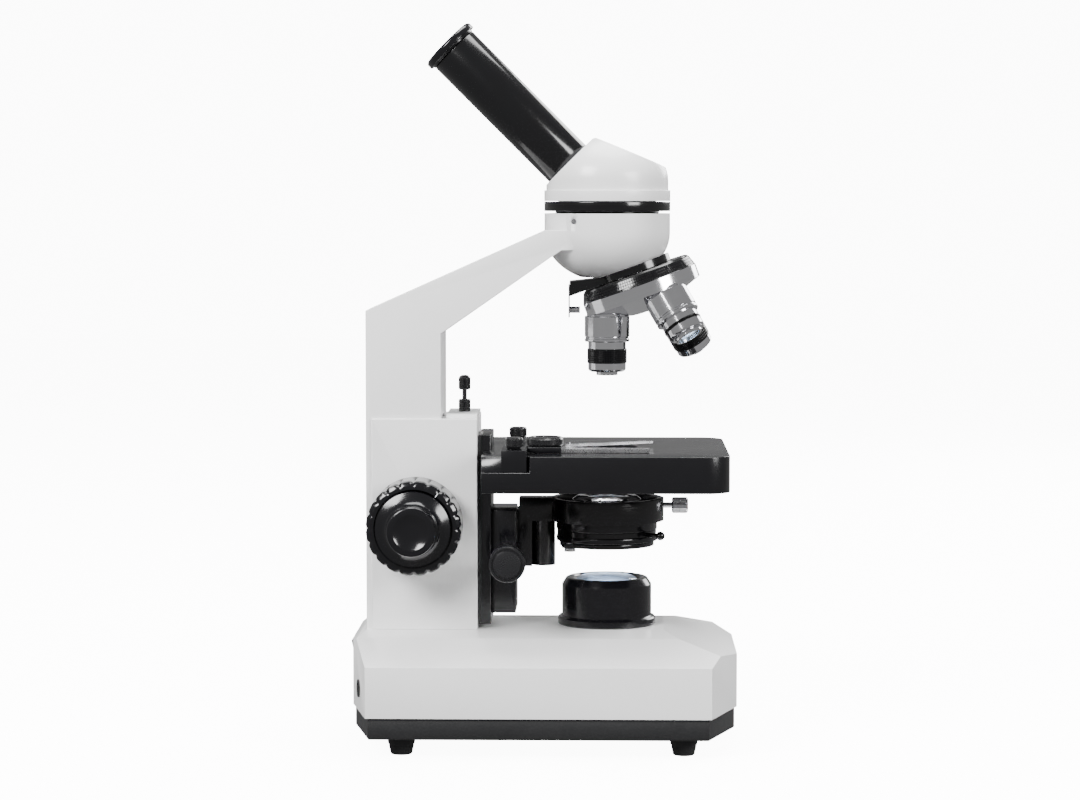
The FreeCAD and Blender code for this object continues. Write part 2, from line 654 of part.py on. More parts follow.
def pinion(name, module, teeth, width, bore, at):
    """A spur pinion along Y with one tooth pointing to +X."""
    module, teeth = float(module), int(float(teeth))
    pitch = module * teeth / 2
    root, base, tip = pitch - 1.05 * module, pitch * math.cos(math.radians(20)), \
        pitch + 0.8 * module
    steps = [root, base] + [base + (tip - base) * k / 3 for k in (1, 2, 3)]
    points = []
    for tooth in range(teeth):
        middle = 2 * math.pi * tooth / teeth
        flank = [(radius, gear_tooth(module, teeth, radius)) for radius in steps]
        for radius, half in flank:
            points.append((radius, middle - half))
        for radius, half in reversed(flank):
            points.append((radius, middle + half))
    corners = [FreeCAD.Vector(r * math.cos(a), 0, r * math.sin(a)) for r, a in points]
    wheel = Part.Face(Part.makePolygon(corners + corners[:1]))
    wheel = wheel.extrude(FreeCAD.Vector(0, float(width), 0))
    wheel.translate(FreeCAD.Vector(0, -float(width) / 2, 0))
    hole = Part.makeCylinder(float(bore), 2 * float(width),
                             FreeCAD.Vector(0, -float(width), 0), Y_AXIS)
    item = doc.addObject("Part::Feature", name)
    item.Shape = wheel.cut(hole)
    return place(item, at)


def rack_outline(module, low, high, back, pitch_x, phase_z):
    """(x, z) points of a rack whose teeth face -X, with a gap centred on phase_z."""
    module = float(module)
    pitch = math.pi * module
    half = pitch / 4 - d.tooth_play.value
    slant = math.tan(math.radians(20))
    tip, root = pitch_x.value - 0.8 * module, pitch_x.value + 1.05 * module
    outline = [(float(back), low.value), (root, low.value)]
    first = math.ceil((low.value - phase_z.value) / pitch - 0.5) + 1
    last = math.floor((high.value - phase_z.value) / pitch - 0.5) - 1
    for index in range(first, last + 1):
        middle = phase_z.value + (index + 0.5) * pitch
        wide, narrow = half + 1.05 * module * slant, half - 0.8 * module * slant
        outline += [(root, middle - wide), (tip, middle - narrow), (tip, middle + narrow),
                    (root, middle + wide)]
    return outline + [(root, high.value), (float(back), high.value)]


def rack(name, outline, half):
    """A rack cut from bar: an (x, z) outline, as wide as twice half."""
    corners = [FreeCAD.Vector(x, -float(half), z) for x, z in outline]
    face = Part.Face(Part.makePolygon(corners + corners[:1]))
    item = doc.addObject("Part::Feature", name)
    item.Shape = face.extrude(FreeCAD.Vector(0, 2 * float(half), 0))
    return place(item)


def make_focus_shafts():
    """Pinion on its hollow coarse shaft, the fine shaft inside it, and their bushes."""
    centre = (focus_x, 0, focus_z)
    teeth = pinion("coarse_teeth_ring", d.coarse_module, d.coarse_teeth, d.pinion_width,
                   d.coarse_shaft_r - 1, centre)
    half = d.coarse_knob_start + d.coarse_knob_length - 6
    tube = through("coarse_tube", d.coarse_shaft_r, centre, Y_AXIS, half)
    bore = through("coarse_tube_bore", d.fine_shaft_r + d.run_fit, centre, Y_AXIS, half + 1)
    node(cut("coarse_shaft", fuse("coarse_blank", [tube, teeth]), [bore]), "coarse_shaft")
    node(through("fine_shaft", d.fine_shaft_r, centre, Y_AXIS, d.fine_knob_end - 4),
         "fine_shaft")
    bushes, collars = [], []
    for side, sign in (("near", -1), ("far", 1)):
        turn = FreeCAD.Rotation(Z_AXIS, Y_AXIS * sign)
        inner = d.coarse_shaft_r + d.run_fit
        bush = [(inner, d.bush_inner), (d.bush_r, d.bush_inner), (d.bush_r, d.pad_half),
                (inner, d.pad_half)]
        bushes.append(turned("bush_" + side, bush, centre, turn))
        end = d.pad_half + d.collar_length
        collar = [(inner + 0.5, d.pad_half), (d.collar_r, d.pad_half), (d.collar_r, end),
                  (inner + 0.5, end)]
        collars.append(turned("collar_" + side, collar, centre, turn))
    node(group("focus_bushes", bushes), "focus_bushes")
    node(group("focus_collars", collars), "focus_collars")


def make_focus_knobs():
    """The coarse wheels and, outside them, the fine knobs."""
    centre = (focus_x, 0, focus_z)
    start, end = d.coarse_knob_start, d.coarse_knob_start + d.coarse_knob_length
    outer = d.coarse_knob_r
    wheels, knobs = [], []
    for side, sign in (("near", -1), ("far", 1)):
        turn = FreeCAD.Rotation(Z_AXIS, Y_AXIS * sign)
        wheel = [(d.coarse_shaft_r, start), (outer - 1, start), (outer, start + 1),
                 (outer, end - 1), (outer - 1, end), (fine_flange_r + 0.4, end),
                 (fine_flange_r + 0.4, end - 4), (d.coarse_shaft_r, end - 4)]
        wheels.append(turned("coarse_knob_" + side, wheel, centre, turn))
        low = end - 3.4
        shaft = d.fine_shaft_r
        knob = [(shaft, low), (fine_flange_r, low), (fine_flange_r, end + 0.6),
                (d.fine_knob_r, end + 4.6), (d.fine_knob_r, d.fine_knob_end - 0.8),
                (d.fine_knob_r - 0.8, d.fine_knob_end), (8.5, d.fine_knob_end),
                (4, d.fine_knob_end - 1.6), (0, d.fine_knob_end - 1.6),
                (0, d.fine_knob_end - 4), (shaft, d.fine_knob_end - 4)]
        knobs.append(turned("fine_knob_" + side, knob, centre, turn))
    node(group("coarse_knobs", wheels), "coarse_knobs")
    node(group("fine_knobs", knobs), "fine_knobs")


def make_focus_slide():
    """The slide inside the block, with the rack that the pinion drives."""
    low = above(d.slide_low)
    high = low + d.slide_length
    pitch_x = focus_x + d.coarse_module * d.coarse_teeth / 2
    back = block_front - d.channel_depth + d.gap
    outline = rack_outline(d.coarse_module, low, high, back, pitch_x, focus_z)
    node(rack("focus_rack", outline, d.rack_half), "focus_rack")
    half = d.channel_half - d.gap
    block = box("slide_block", (back, -half, low), (block_front - d.gap, half, high))
    groove = box("slide_groove",
                 (block_front - d.gap - d.tongue_depth, -d.tongue_half - d.gap, low - 1),
                 (block_front, d.tongue_half + d.gap, high + 1))
    node(cut("focus_slide", block, [groove]), "focus_slide")


def make_rail():
    """The black rail that carries stage and condenser, guided by its tongue."""
    low = above(d.rail_low)
    high = stage_top + d.rail_above
    front = block_front + d.gap + d.rail_thick
    plate = box("rail_plate", (block_front + d.gap, -d.rail_half, low),
                (front, d.rail_half, high))
    tongue = box("rail_tongue", (block_front - d.tongue_depth, -d.tongue_half,
                                 above(d.slide_low) + 4),
                 (block_front + d.gap + 1, d.tongue_half,
                  above(d.slide_low) + d.slide_length - 4))
    node(fuse("focus_rail", [plate, tongue]), "focus_rail")
    return front


def make_carriage(rail_front):
    """The block on the rail that guides the condenser's lift."""
    low = above(d.carriage_low)
    high = stage_top - d.stage_skirt - d.carriage_clear
    front = rail_front + d.carriage_thick
    block = box("carriage_block", (rail_front, -d.carriage_half, low),
                (front, d.carriage_half, high))
    knob_x, knob_z = behind(d.knob_back), above(d.knob_rise)
    room = d.knob_module * (d.knob_teeth / 2 + 2)
    tools = [
        through("carriage_shaft_bore", d.knob_shaft_r + d.run_fit, (knob_x, 0, knob_z), Y_AXIS,
                d.carriage_half + 1),
        through("carriage_pinion_room", room, (knob_x, 0, knob_z), Y_AXIS, 4),
    ]
    node(cut("condenser_carriage", block, tools), "condenser_carriage")


def make_stage(rail_front):
    """The stage: a plate with a deep rim, open below."""
    rear, front = behind(d.stage_rear), optic + d.stage_front
    low = stage_top - d.stage_skirt
    body = box("stage_block", (rear, -d.stage_half_y, low), (front, d.stage_half_y, stage_top))
    rounded = doc.addObject("Part::Fillet", "stage_rounded")
    rounded.Base = body
    doc.recompute()
    edges = [number for number, edge in enumerate(body.Shape.Edges, start=1)
             if abs(edge.tangentAt(edge.FirstParameter).z) > 0.9
             and edge.CenterOfMass.x > front.value - 1]
    rounded.Edges = [(number, d.stage_corner_r.value, d.stage_corner_r.value)
                     for number in edges]
    wall = d.stage_wall
    room = box("stage_room", (rear + wall, -d.stage_half_y + wall, low - 1),
               (front - wall - 4, d.stage_half_y - wall, stage_top - d.stage_plate))
    hole = rod("stage_aperture", d.aperture_r, d.stage_plate * 3,
               (optic, 0, stage_top - d.stage_plate * 2))
    rail = box("stage_rail_room", (rear - 1, -d.rail_half - d.gap, low - 1),
               (rail_front, d.rail_half + d.gap, stage_top + 1))
    notch = box("stage_notch", (rear - 1, -d.stage_half_y - 1, stage_top - d.notch_height),
                (rear + d.notch_length, -d.stage_half_y + d.notch_depth, stage_top + 1))
    hollow = cut("stage_hollow", rounded, [room, hole, rail, notch])
    lug = box("stage_lug", (rail_front, -d.rail_half, low), (rail_front + 5, d.rail_half,
                                                             stage_top - 1))
    node(fuse("stage", [hollow, lug]), "stage")


# ---------------------------------------------------------------- slide holder

def make_slide_holder():
    """The attachable slide holder: guide, cross slide, holder, finger and knob."""
    x0 = behind(d.guide_x)
    tongue = d.guide_width / 4
    waist = stage_top + d.guide_height / 2
    edge = near_edge
    end = edge + d.guide_reach
    middle = edge + d.cross_in
    near, far = middle - d.cross_half, middle + d.cross_half
    thumbs = (edge + d.thumb_near_in, edge + d.thumb_far_in)
    bar = box("guide_bar", (x0, edge + 0.4, stage_top),
              (x0 + d.guide_width, end, stage_top + d.guide_height))
    hook = box("guide_hook", (x0, edge + 0.4, stage_top - d.notch_height + d.gap),
               (x0 + d.guide_width, edge + d.notch_depth - 0.05, stage_top + 1))
    tools = [box("guide_groove",
                 (x0 + d.guide_width - tongue - d.gap, near - d.cross_reach, waist - 0.9),
                 (x0 + d.guide_width + 1, end + 1, waist + 0.9))]
    tools += [rod("guide_hole_%d" % index, 1.8 + d.run_fit, 12,
                  (x0 + d.guide_width / 2, y, stage_top - 1))
              for index, y in enumerate(thumbs)]
    node(cut("holder_guide", fuse("guide_form", [bar, hook]), tools), "holder_guide")
    top = d.guide_height + d.thumb_height
    screw = [(0, 0.2), (1.8, 0.2), (1.8, d.guide_height + 0.2),
             (d.thumb_r - 1.2, d.guide_height + 0.2), (d.thumb_r, d.guide_height + 1.6),
             (d.thumb_r, top - 0.8), (d.thumb_r - 0.8, top), (0, top)]
    screws = [turned("holder_screw_" + side, screw, (x0 + d.guide_width / 2, y, stage_top))
              for side, y in zip(("near", "far"), thumbs)]
    node(group("holder_screws", screws), "holder_screws")
    cross_x = x0 + d.guide_width + d.gap
    low = stage_top + d.gap
    cross_top = low + d.cross_height
    block = box("cross_block", (cross_x, near, low), (cross_x + d.cross_width, far, cross_top))
    key = box("cross_key", (cross_x - tongue, near, waist - 0.6),
              (cross_x + 1, far, waist + 0.6))
    arm_far = edge + d.holder_in
    arm_y = arm_far - d.holder_width
    slot = box("cross_slot", (cross_x + 3, arm_y - d.gap, low - 1),
               (cross_x + d.cross_width + 1, arm_far + d.gap,
                low + d.holder_height + d.gap))
    node(cut("cross_slide", fuse("cross_form", [block, key]), [slot]), "cross_slide")
    knob = [(0, 0), (d.disc_r - 0.6, 0), (d.disc_r, 0.6), (d.disc_r, d.disc_height - 0.8),
            (d.disc_r - 0.8, d.disc_height), (0, d.disc_height)]
    node(turned("holder_knob", knob, (cross_x + d.cross_width / 2, middle,
                                      cross_top + d.gap)), "holder_knob")
    arm_x = cross_x + 3 + d.gap
    stop_x = cross_x + d.cross_width + d.gap
    finger_y = arm_far + 2
    lug_y = finger_y + d.finger_width
    top = low + d.holder_height
    arm = box("holder_arm", (arm_x, arm_y, low), (stop_x + d.holder_length, arm_far, top))
    lug = box("holder_stop", (stop_x, arm_y, low), (stop_x + 6, lug_y, top))
    pin_spot = (stop_x + d.pivot_in, finger_y + d.finger_width / 2, top - 0.5)
    pin = rod("holder_pin", d.finger_pin_r, d.finger_thick + 1.6, pin_spot)
    node(fuse("slide_holder", [arm, lug, pin]), "slide_holder")
    tip_x, tip_y = stop_x + d.finger_length, finger_y + d.finger_rise
    root_x = stop_x + d.blade_in
    blade = [(root_x, finger_y), (stop_x + 8, finger_y + 2), (tip_x, tip_y),
             (tip_x - 4, tip_y + 1.6), (stop_x + 8, lug_y + 3), (root_x, lug_y)]
    hole = rod("finger_hole", d.finger_pin_r + d.run_fit, 9, (pin_spot[0], pin_spot[1], low))
    plate = flat_plate("finger_blade", blade, top + 0.2, d.finger_thick)
    node(cut("slide_finger", plate, [hole]), "slide_finger")


# ---------------------------------------------------------------- condenser

def make_condenser_lift(rail_front):
    """The lift: rack bar, post and the ring that holds the condenser."""
    back = rail_front + d.carriage_thick + d.gap
    knob_x, knob_z = behind(d.knob_back), above(d.knob_rise)
    pitch_x = knob_x + d.knob_module * d.knob_teeth / 2
    low = above(d.lift_bar_low)
    high = low + d.lift_bar_length
    front = behind(d.lift_bar_front)
    outline = rack_outline(d.knob_module, low, high, front - 3, pitch_x, knob_z)
    teeth = rack("condenser_rack", outline, 3)
    bar = box("lift_bar", (front - 3, -d.lift_bar_half, low), (front, d.lift_bar_half, high))
    cheeks = [box("lift_cheek_" + side, (back, y, low), (front - 2, y + 4, high))
              for side, y in (("near", -d.lift_bar_half), ("far", d.lift_bar_half - 4))]
    post = rod("lift_post", d.post_r, d.lift_bar_length + 4, (behind(ring_r + d.post_out), 0, low))
    ring_low = above(d.ring_low)
    arm = box("lift_arm", (back + 1, -d.lift_bar_half, ring_low),
              (behind(ring_r) + 6, d.lift_bar_half, ring_low + d.ring_height))
    ring = rod("lift_ring", ring_r, d.ring_height, (optic, 0, ring_low))
    bore = rod("lift_bore", ring_bore_r + d.run_fit, d.ring_height * 3,
               (optic, 0, ring_low - d.ring_height))
    screw = rod("lift_screw_hole", d.clamp_rod_r + d.run_fit, ring_r,
                (optic + ring_bore_r - 3, 0, ring_low + d.clamp_rise), X_AXIS)
    form = fuse("lift_form", [bar, post, arm, ring, teeth] + cheeks)
    node(cut("condenser_lift", form, [bore, screw]), "condenser_lift")


def make_condenser():
    """The condenser in its ring, with its lens, iris ring and clamp screw."""
    low, top = d.condenser_low, d.condenser_top
    slot_low, slot_high = d.iris_low - d.gap, d.iris_low + d.iris_slot + d.gap
    outline = [(13, low), (d.condenser_r, low), (d.condenser_r, slot_low),
               (d.iris_inner_r, slot_low), (d.iris_inner_r, slot_high),
               (d.condenser_r, slot_high), (d.condenser_r, d.ring_low + d.condenser_seat),
               (d.tower_r, d.ring_low + d.condenser_seat), (d.tower_r, top - 1.6),
               (d.condenser_nose_r, top),
               (9.2, top), (9.2, top - 5), (13, top - 7)]
    node(turned("condenser_body", outline, (optic, 0, deck)), "condenser_body")
    lens = [(0, top - 6), (9.1, top - 5), (9.1, top - 0.4), (0, top - 0.2)]
    node(turned("condenser_lens", lens, (optic, 0, deck)), "condenser_lens")
    inner = d.iris_inner_r + d.run_fit
    ring = turned("iris_annulus", [(inner, d.iris_low), (d.condenser_r - 0.4, d.iris_low),
                                   (d.condenser_r - 0.4, d.iris_low + d.iris_slot),
                                   (inner, d.iris_low + d.iris_slot)], (optic, 0, deck))
    angle = math.radians(-d.iris_angle.value)
    axis = (math.cos(angle), math.sin(angle), 0)
    middle = above(d.iris_low + d.iris_slot / 2)
    start = (optic + d.iris_inner_r * axis[0] * 1.1, d.iris_inner_r * axis[1] * 1.1, middle)
    lever = rod("iris_rod", 1, d.iris_reach - d.iris_inner_r * 1.1 - 1, start, axis)
    ball = doc.addObject("Part::Sphere", "iris_ball")
    bind(ball, Radius=2.2)
    place(ball, (optic + d.iris_reach * axis[0], d.iris_reach * axis[1], middle))
    node(fuse("iris_lever", [ring, lever, ball]), "iris_lever")
    middle = above(d.ring_low + d.clamp_rise)
    head_at = ring_r + d.clamp_stand
    rod_part = rod("clamp_rod", d.clamp_rod_r, head_at - d.tower_r - d.gap,
                   (optic + d.tower_r + d.gap, 0, middle), X_AXIS)
    head = rod("clamp_head", d.clamp_head_r, d.clamp_head, (optic + head_at, 0, middle), X_AXIS)
    node(fuse("condenser_screw", [rod_part, head]), "condenser_screw")


def make_filter_holder():
    """The ring under the condenser that swings out on its pin."""
    low = above(d.filter_low)
    angle = math.radians(d.pivot_angle.value)
    reach = d.condenser_r - d.pivot_r - d.pivot_inset
    pin_x, pin_y = behind(reach * math.cos(angle)), -reach * math.sin(angle)
    ring = rod("filter_disc", filter_r, d.filter_height, (optic, 0, low))
    lug = rod("filter_lug", d.pivot_r + 2.2, d.filter_height, (pin_x, pin_y, low))
    bore = rod("filter_bore", d.filter_bore_r, d.filter_height * 3,
               (optic, 0, low + 0.8))
    light = rod("filter_light", d.filter_bore_r - 1.5, d.filter_height * 3, (optic, 0, low - 2))
    hole = rod("filter_pin_hole", d.pivot_r + d.run_fit, d.filter_height * 3,
               (pin_x, pin_y, low - 2))
    node(cut("filter_holder", fuse("filter_form", [ring, lug]), [bore, light, hole]),
         "filter_holder")
    pin = [(0, d.filter_low - 1.8), (d.pivot_r + 0.9, d.filter_low - 1.8),
           (d.pivot_r + 0.9, d.filter_low - d.gap), (d.pivot_r, d.filter_low - d.gap),
           (d.pivot_r, d.condenser_low), (0, d.condenser_low)]
    node(turned("filter_pin", pin, (pin_x, pin_y, deck)), "filter_pin")


def make_condenser_drive():
    """The knob, shaft and pinion that raise the condenser."""
    knob_x, knob_z = behind(d.knob_back), above(d.knob_rise)
    centre = (knob_x, 0, knob_z)
    teeth = pinion("condenser_teeth", d.knob_module, d.knob_teeth, 6.0, d.knob_shaft_r - 1,
                   centre)
    start = d.carriage_half + 2
    shaft = rod("drive_shaft", d.knob_shaft_r, d.knob_end - 3 + start,
                (knob_x, -(d.knob_end - 3), knob_z), Y_AXIS)
    node(fuse("condenser_shaft", [shaft, teeth]), "condenser_shaft")
    outline = [(d.knob_shaft_r, d.knob_start), (d.knob_r - 0.8, d.knob_start),
               (d.knob_r, d.knob_start + 0.8), (d.knob_r, d.knob_end - 1),
               (d.knob_r - 1, d.knob_end), (0, d.knob_end), (0, d.knob_end - 3),
               (d.knob_shaft_r, d.knob_end - 3)]
    node(turned("condenser_knob", outline, centre, FreeCAD.Rotation(Z_AXIS, -Y_AXIS)),
         "condenser_knob")


# ---------------------------------------------------------------- nosepiece

def nose_axis():
    """Unit vector of the nosepiece's axis, pointing down and forward."""
    tilt = math.radians(d.tilt.value)
    return (math.sin(tilt), 0.0, -math.cos(tilt))


def nose_point(distance):
    """The point on the nosepiece's axis at a distance below its apex."""
    axis = nose_axis()
    return (optic + distance * axis[0], 0, apex_z + distance * axis[2])


def seat_frame(index):
    """Placement whose +Z runs down the axis of one of the three objectives."""
    spin = FreeCAD.Rotation(FreeCAD.Vector(*nose_axis()), 120.0 * index)
    down = FreeCAD.Rotation(X_AXIS, 180)
    return spin.multiply(down)


def seat_tool(name, index, radius, start, length):
    """A cylinder on the axis of one objective, from a distance below the apex."""
    turn = seat_frame(index)
    axis = turn.multVec(Z_AXIS)
    cylinder = doc.addObject("Part::Cylinder", name)
    bind(cylinder, Radius=radius, Height=length)
    start = Size.wrap(start)
    return place(cylinder, (optic + start * axis.x, start * axis.y, apex_z + start * axis.z),
                 turn)


def make_nosepiece():
    """The fixed plate, its axle, the black grip ring and the chromed turret."""
    turn = nose_turn()
    apex = (optic, 0, apex_z)
    plate = turned("nose_plate_disc", [(0, d.plate_from), (d.plate_r, d.plate_from),
                                       (d.plate_r, d.ring_from - d.gap),
                                       (0, d.ring_from - d.gap)], apex, turn)
    path = seat_tool("nose_plate_path", 0, d.path_r, d.plate_from - 14, 30)
    axle_hole = rod("nose_axle_hole", d.axle_r, 12, nose_point(d.plate_from - 2), nose_axis())
    tan, cos = (getattr(math, name)(math.radians(d.tilt.value)) for name in ("tan", "cos"))
    drop = (d.ring_from - d.gap) / cos
    tab_top = apex_z - drop + 0.6
    root = apex_z - drop + d.tab_root * tan
    tab = side_plate("nose_tab", [(behind(d.tab_x), tab_top),
                                  (behind(d.tab_x), apex_z - drop - d.tab_x * tan),
                                  (optic + d.tab_root, root), (optic + d.tab_root, root + 1.5)],
                     (d.path_r + d.tab_cheek) * 2)
    form = fuse("nose_plate_form", [plate, tab])
    node(cut("nosepiece_plate", form, [path, axle_hole]), "nosepiece_plate")
    run = d.run_fit
    axle = [(0, d.plate_from), (d.axle_r, d.plate_from), (d.axle_r, d.chrome_to + 2.4),
            (d.axle_r + 2.4, d.chrome_to + 2.4), (d.axle_r + 2.4, d.chrome_to + 4.6),
            (0, d.chrome_to + 4.6)]
    node(turned("turret_axle", axle, apex, turn), "turret_axle")
    ring = [(d.ring_top_r - 8, d.ring_from), (d.ring_top_r, d.ring_from),
            (d.turret_r - 0.4, d.ring_to - 2), (d.turret_r, d.ring_to),
            (d.ring_top_r - 8, d.ring_to)]
    ring_body = turned("grip_ring_form", ring, apex, turn)
    node(ring_body, "turret_grip_ring")
    slope = math.tan(math.radians(d.tilt.value))
    span = math.cos(math.radians(d.tilt.value))
    cone_low = d.seat_from / span - d.turret_r * slope
    cone_mid = d.seat_from / span - d.hub_r * slope
    chrome = [(d.axle_r + run, d.ring_from + 1.0), (d.ring_top_r - 8.2, d.ring_from + 1.0),
              (d.ring_top_r - 8.2, d.ring_to), (d.turret_r + 0.1, d.ring_to),
              (d.turret_r + 0.1, cone_low), (d.hub_r, cone_mid),
              (d.axle_r + 3.2, cone_mid + 0.4), (d.axle_r + 3.2, d.chrome_to + 2.1),
              (d.axle_r + run, d.chrome_to + 2.1)]
    dome = turned("turret_form", chrome, apex, turn)
    tools = []
    for index in range(3):
        tools.append(seat_tool("turret_path_%d" % index, index, d.path_r, d.ring_from - 8, 40))
        tools.append(seat_tool("turret_thread_%d" % index, index, d.thread_r,
                               d.seat_from - 5.2, 12))
    node(cut("turret_dome", dome, tools), "turret_dome")


def make_detent():
    """The leaf spring that clicks into the turret, and the screw through its end."""
    x = behind(d.tab_x)
    low = apex_z - 59.5
    spring = [(x - 0.6, low), (x, low), (x, low + 16), (x - 0.6, low + 16)]
    node(side_plate("detent_spring", spring, 8), "detent_spring")
    return rod("detent_screw", 1.6, 5, (x, 0, low + 3.6), X_AXIS)


OBJECTIVES = (("ten", 0), ("forty", 1), ("four", 2))


def make_objectives():
    """Three objectives screwed into the turret, each with its front lens."""
    neck = d.thread_r - d.thread_play
    body = d.thread_r + d.objective_step
    lenses = []
    for size, index in OBJECTIVES:
        length = getattr(d, size + "_length")
        tip = getattr(d, size + "_tip_r")
        turn = seat_frame(index)
        axis = turn.multVec(Z_AXIS)
        seat = d.seat_from
        at = (optic + seat * axis.x, seat * axis.y, apex_z + seat * axis.z)
        shoulder = length - 1.7
        outline = [(tip - 1.2, -4.8), (neck, -4.8), (neck, 0), (body, 0), (body, 12.5),
                   (body - 1.75, 12.6), (body - 1.75, 16), (body - 1.25, 16),
                   (body - 1.25, shoulder - 4.3), (body - 1.75, shoulder - 4.2),
                   (body - 1.75, shoulder - 1), (body - 3, shoulder), (tip, shoulder),
                   (tip, length), (tip - 1.2, length)]
        name = "objective_" + size
        node(turned(name, outline, at, turn), name)
        lens = [(0, length - 3), (tip - 1.2, length - 3), (tip - 1.2, length - 0.6),
                (0, length - 0.4)]
        lenses.append(turned("front_lens_" + size, lens, at, turn))
    node(group("objective_lenses", lenses), "objective_lenses")


# ---------------------------------------------------------------- head

def tube_turn():
    """Rotation that carries +Z onto the eyepiece tube, up and back at 45 degrees."""
    return FreeCAD.Rotation(Z_AXIS, FreeCAD.Vector(-1, 0, 1))


def make_head():
    """The head housing, its dovetail, the prism and the tube."""
    low = bowl_top + d.gap * 2 + d.bowl_ring_height
    top = above(crown_rise) + 2
    face = (behind(d.face_x), above(face_rise))
    side = [(behind(flange_r) - 2, low + d.flange_height),
            (optic + flange_r, low + d.flange_height),
            (optic + flange_r, above(brow_rise) - 2.8),
            (optic + d.brow_x, above(brow_rise)),
            (behind(d.crown_x), above(crown_rise)),
            (behind(d.crown_x) - 1.5, above(crown_rise) - 0.4),
            (face[0] - 9.6, face[1] - 9.6), (behind(flange_r) - 2, face[1] - 13)]
    shoulder = low + d.flange_height + d.dome_start
    bulge = top - shoulder
    angles = [math.pi / 2 * step / 14 for step in range(14)]
    dome = [(0, low + d.flange_height - 1), (head_r, low + d.flange_height - 1)]
    dome += [(head_r * math.cos(angle), shoulder + bulge * math.sin(angle))
             for angle in angles]
    dome += [(0, top)]
    upper = common("head_upper", [side_plate("head_side", side, flange_r * 3),
                                  turned("head_dome", dome, (optic, 0, 0))])
    flange = rod("head_flange", flange_r, d.flange_height, (optic, 0, low))
    form = fuse("head_form", [upper, flange])
    turn = tube_turn()
    axis = turn.multVec(Z_AXIS)
    start = [face[0] - d.tube_inside * axis.x, 0, face[1] - d.tube_inside * axis.z]
    room = rod("head_room", head_r - d.head_wall - 3, d.flange_height + 6,
               (optic, 0, low + 2.5))
    path = rod("head_path", d.head_bore_r, 20, (optic, 0, low - 1))
    bore = doc.addObject("Part::Cylinder", "head_tube_bore")
    bind(bore, Radius=tube_r + d.run_fit, Height=60)
    place(bore, start, turn)
    node(cut("head_housing", form, [room, path, bore]), "head_housing")
    inner = [(d.head_bore_r, -d.socket_depth + 0.5), (socket_r - d.run_fit, -d.socket_depth + 0.5),
             (socket_r - d.run_fit, d.gap * 2 + d.bowl_ring_height),
             (d.head_bore_r, d.gap * 2 + d.bowl_ring_height)]
    node(turned("head_dovetail", inner, (optic, 0, bowl_top)), "head_dovetail")
    prism_low = low + 3
    prism = [(optic - 9, prism_low), (optic + 9, prism_low), (optic + 9, prism_low + 4),
             (optic - 2, prism_low + 12), (optic - 9, prism_low + 8)]
    node(side_plate("prism", prism, 16), "prism")
    tube = [(d.tube_bore_r, 0), (tube_r, 0), (tube_r, d.tube_inside + d.tube_length),
            (d.tube_bore_r, d.tube_inside + d.tube_length)]
    node(turned("eyepiece_tube", tube, start, turn), "eyepiece_tube")


def make_eyepiece():
    """The eyepiece in the tube, with its two lenses."""
    turn = tube_turn()
    axis = turn.multVec(Z_AXIS)
    end = d.tube_length
    spot = (behind(d.face_x) + end * axis.x, 0, above(face_rise) + end * axis.z)
    low = d.gap
    inner = eyepiece_r - 1.2
    cap_r = tube_r + d.cap_step
    eye_lens_r = eyepiece_r - d.eye_lens_step
    neck = low + d.cap_neck
    top = neck + d.cap_height
    outline = [(inner, -d.eyepiece_depth), (eyepiece_r, -d.eyepiece_depth),
               (eyepiece_r, low), (cap_r - 1.6, low), (cap_r - 1.6, neck),
               (cap_r, neck), (cap_r, top - 1), (cap_r - 1, top),
               (eye_lens_r + 1, top), (eye_lens_r, top - 2), (eye_lens_r, top - 4),
               (inner, top - 4)]
    node(turned("eyepiece_barrel", outline, spot, turn), "eyepiece_barrel")
    eye = [(0, top - 7), (inner - 0.1, top - 6.5), (inner - 0.1, top - 4.3), (0, top - 3.4)]
    lenses = [turned("eye_lens", eye, spot, turn)]
    depth = d.eyepiece_depth
    field = [(0, -depth + 1), (inner - 0.1, -depth + 2), (inner - 0.1, -depth + 4),
             (0, -depth + 4.6)]
    lenses.append(turned("field_lens", field, spot, turn))
    node(group("eyepiece_lenses", lenses), "eyepiece_lenses")


# ---------------------------------------------------------------- building and export

def build():
    """Make every sub-part in the order in which the microscope goes together."""
    make_tray()
    make_feet()
    make_tray_screws()
    make_shell()
    make_inlet()
    make_switch()
    make_lamp()
    make_collector()
    make_limb()
    make_limb_screws()
    make_block_cover()
    make_stop_screw()
    grub = make_bowl_ring()
    make_focus_shafts()
    make_focus_knobs()
    make_focus_slide()
    rail_front = make_rail()
    make_carriage(rail_front)
    make_stage(rail_front)
    make_slide_holder()
    make_condenser_lift(rail_front)
    make_condenser()
    make_filter_holder()
    make_condenser_drive()
    make_nosepiece()
    node(group("limb_small_screws", [grub, make_detent()]), "limb_small_screws")
    make_objectives()
    make_head()
    make_eyepiece()
    doc.recompute()


def check():
    """Stop unless every object is up to date and every sub-part is a sound shape."""
    for item in doc.Objects:
        if "Invalid" in item.State or "Error" in item.State:
            raise RuntimeError("%s failed: %s" % (item.Label, item.State))
    for item in SUB_PARTS:
        if item.Shape.isNull() or not item.Shape.isValid() or not item.Shape.Solids:
            raise RuntimeError("%s has no valid solid" % item.Label)


def export():
    """Write one STEP file per sub-part."""
    os.makedirs("parts", exist_ok=True)
    for item in SUB_PARTS:
        item.Shape.exportStep(os.path.join("parts", item.Label + ".step"))
        print("%-22s %10.1f mm3" % (item.Label, item.Shape.Volume))
    print(len(SUB_PARTS), "sub-parts")


build()
check()
export()
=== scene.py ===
"""Looks of a monocular laboratory microscope.

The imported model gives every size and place.  Each sub-assembly is a class that builds its
detailed pieces around the model's nodes and dresses them; each finish is a small class that
writes one procedural material.  Lengths are in metres, on the model's own axes.
"""
from __future__ import annotations

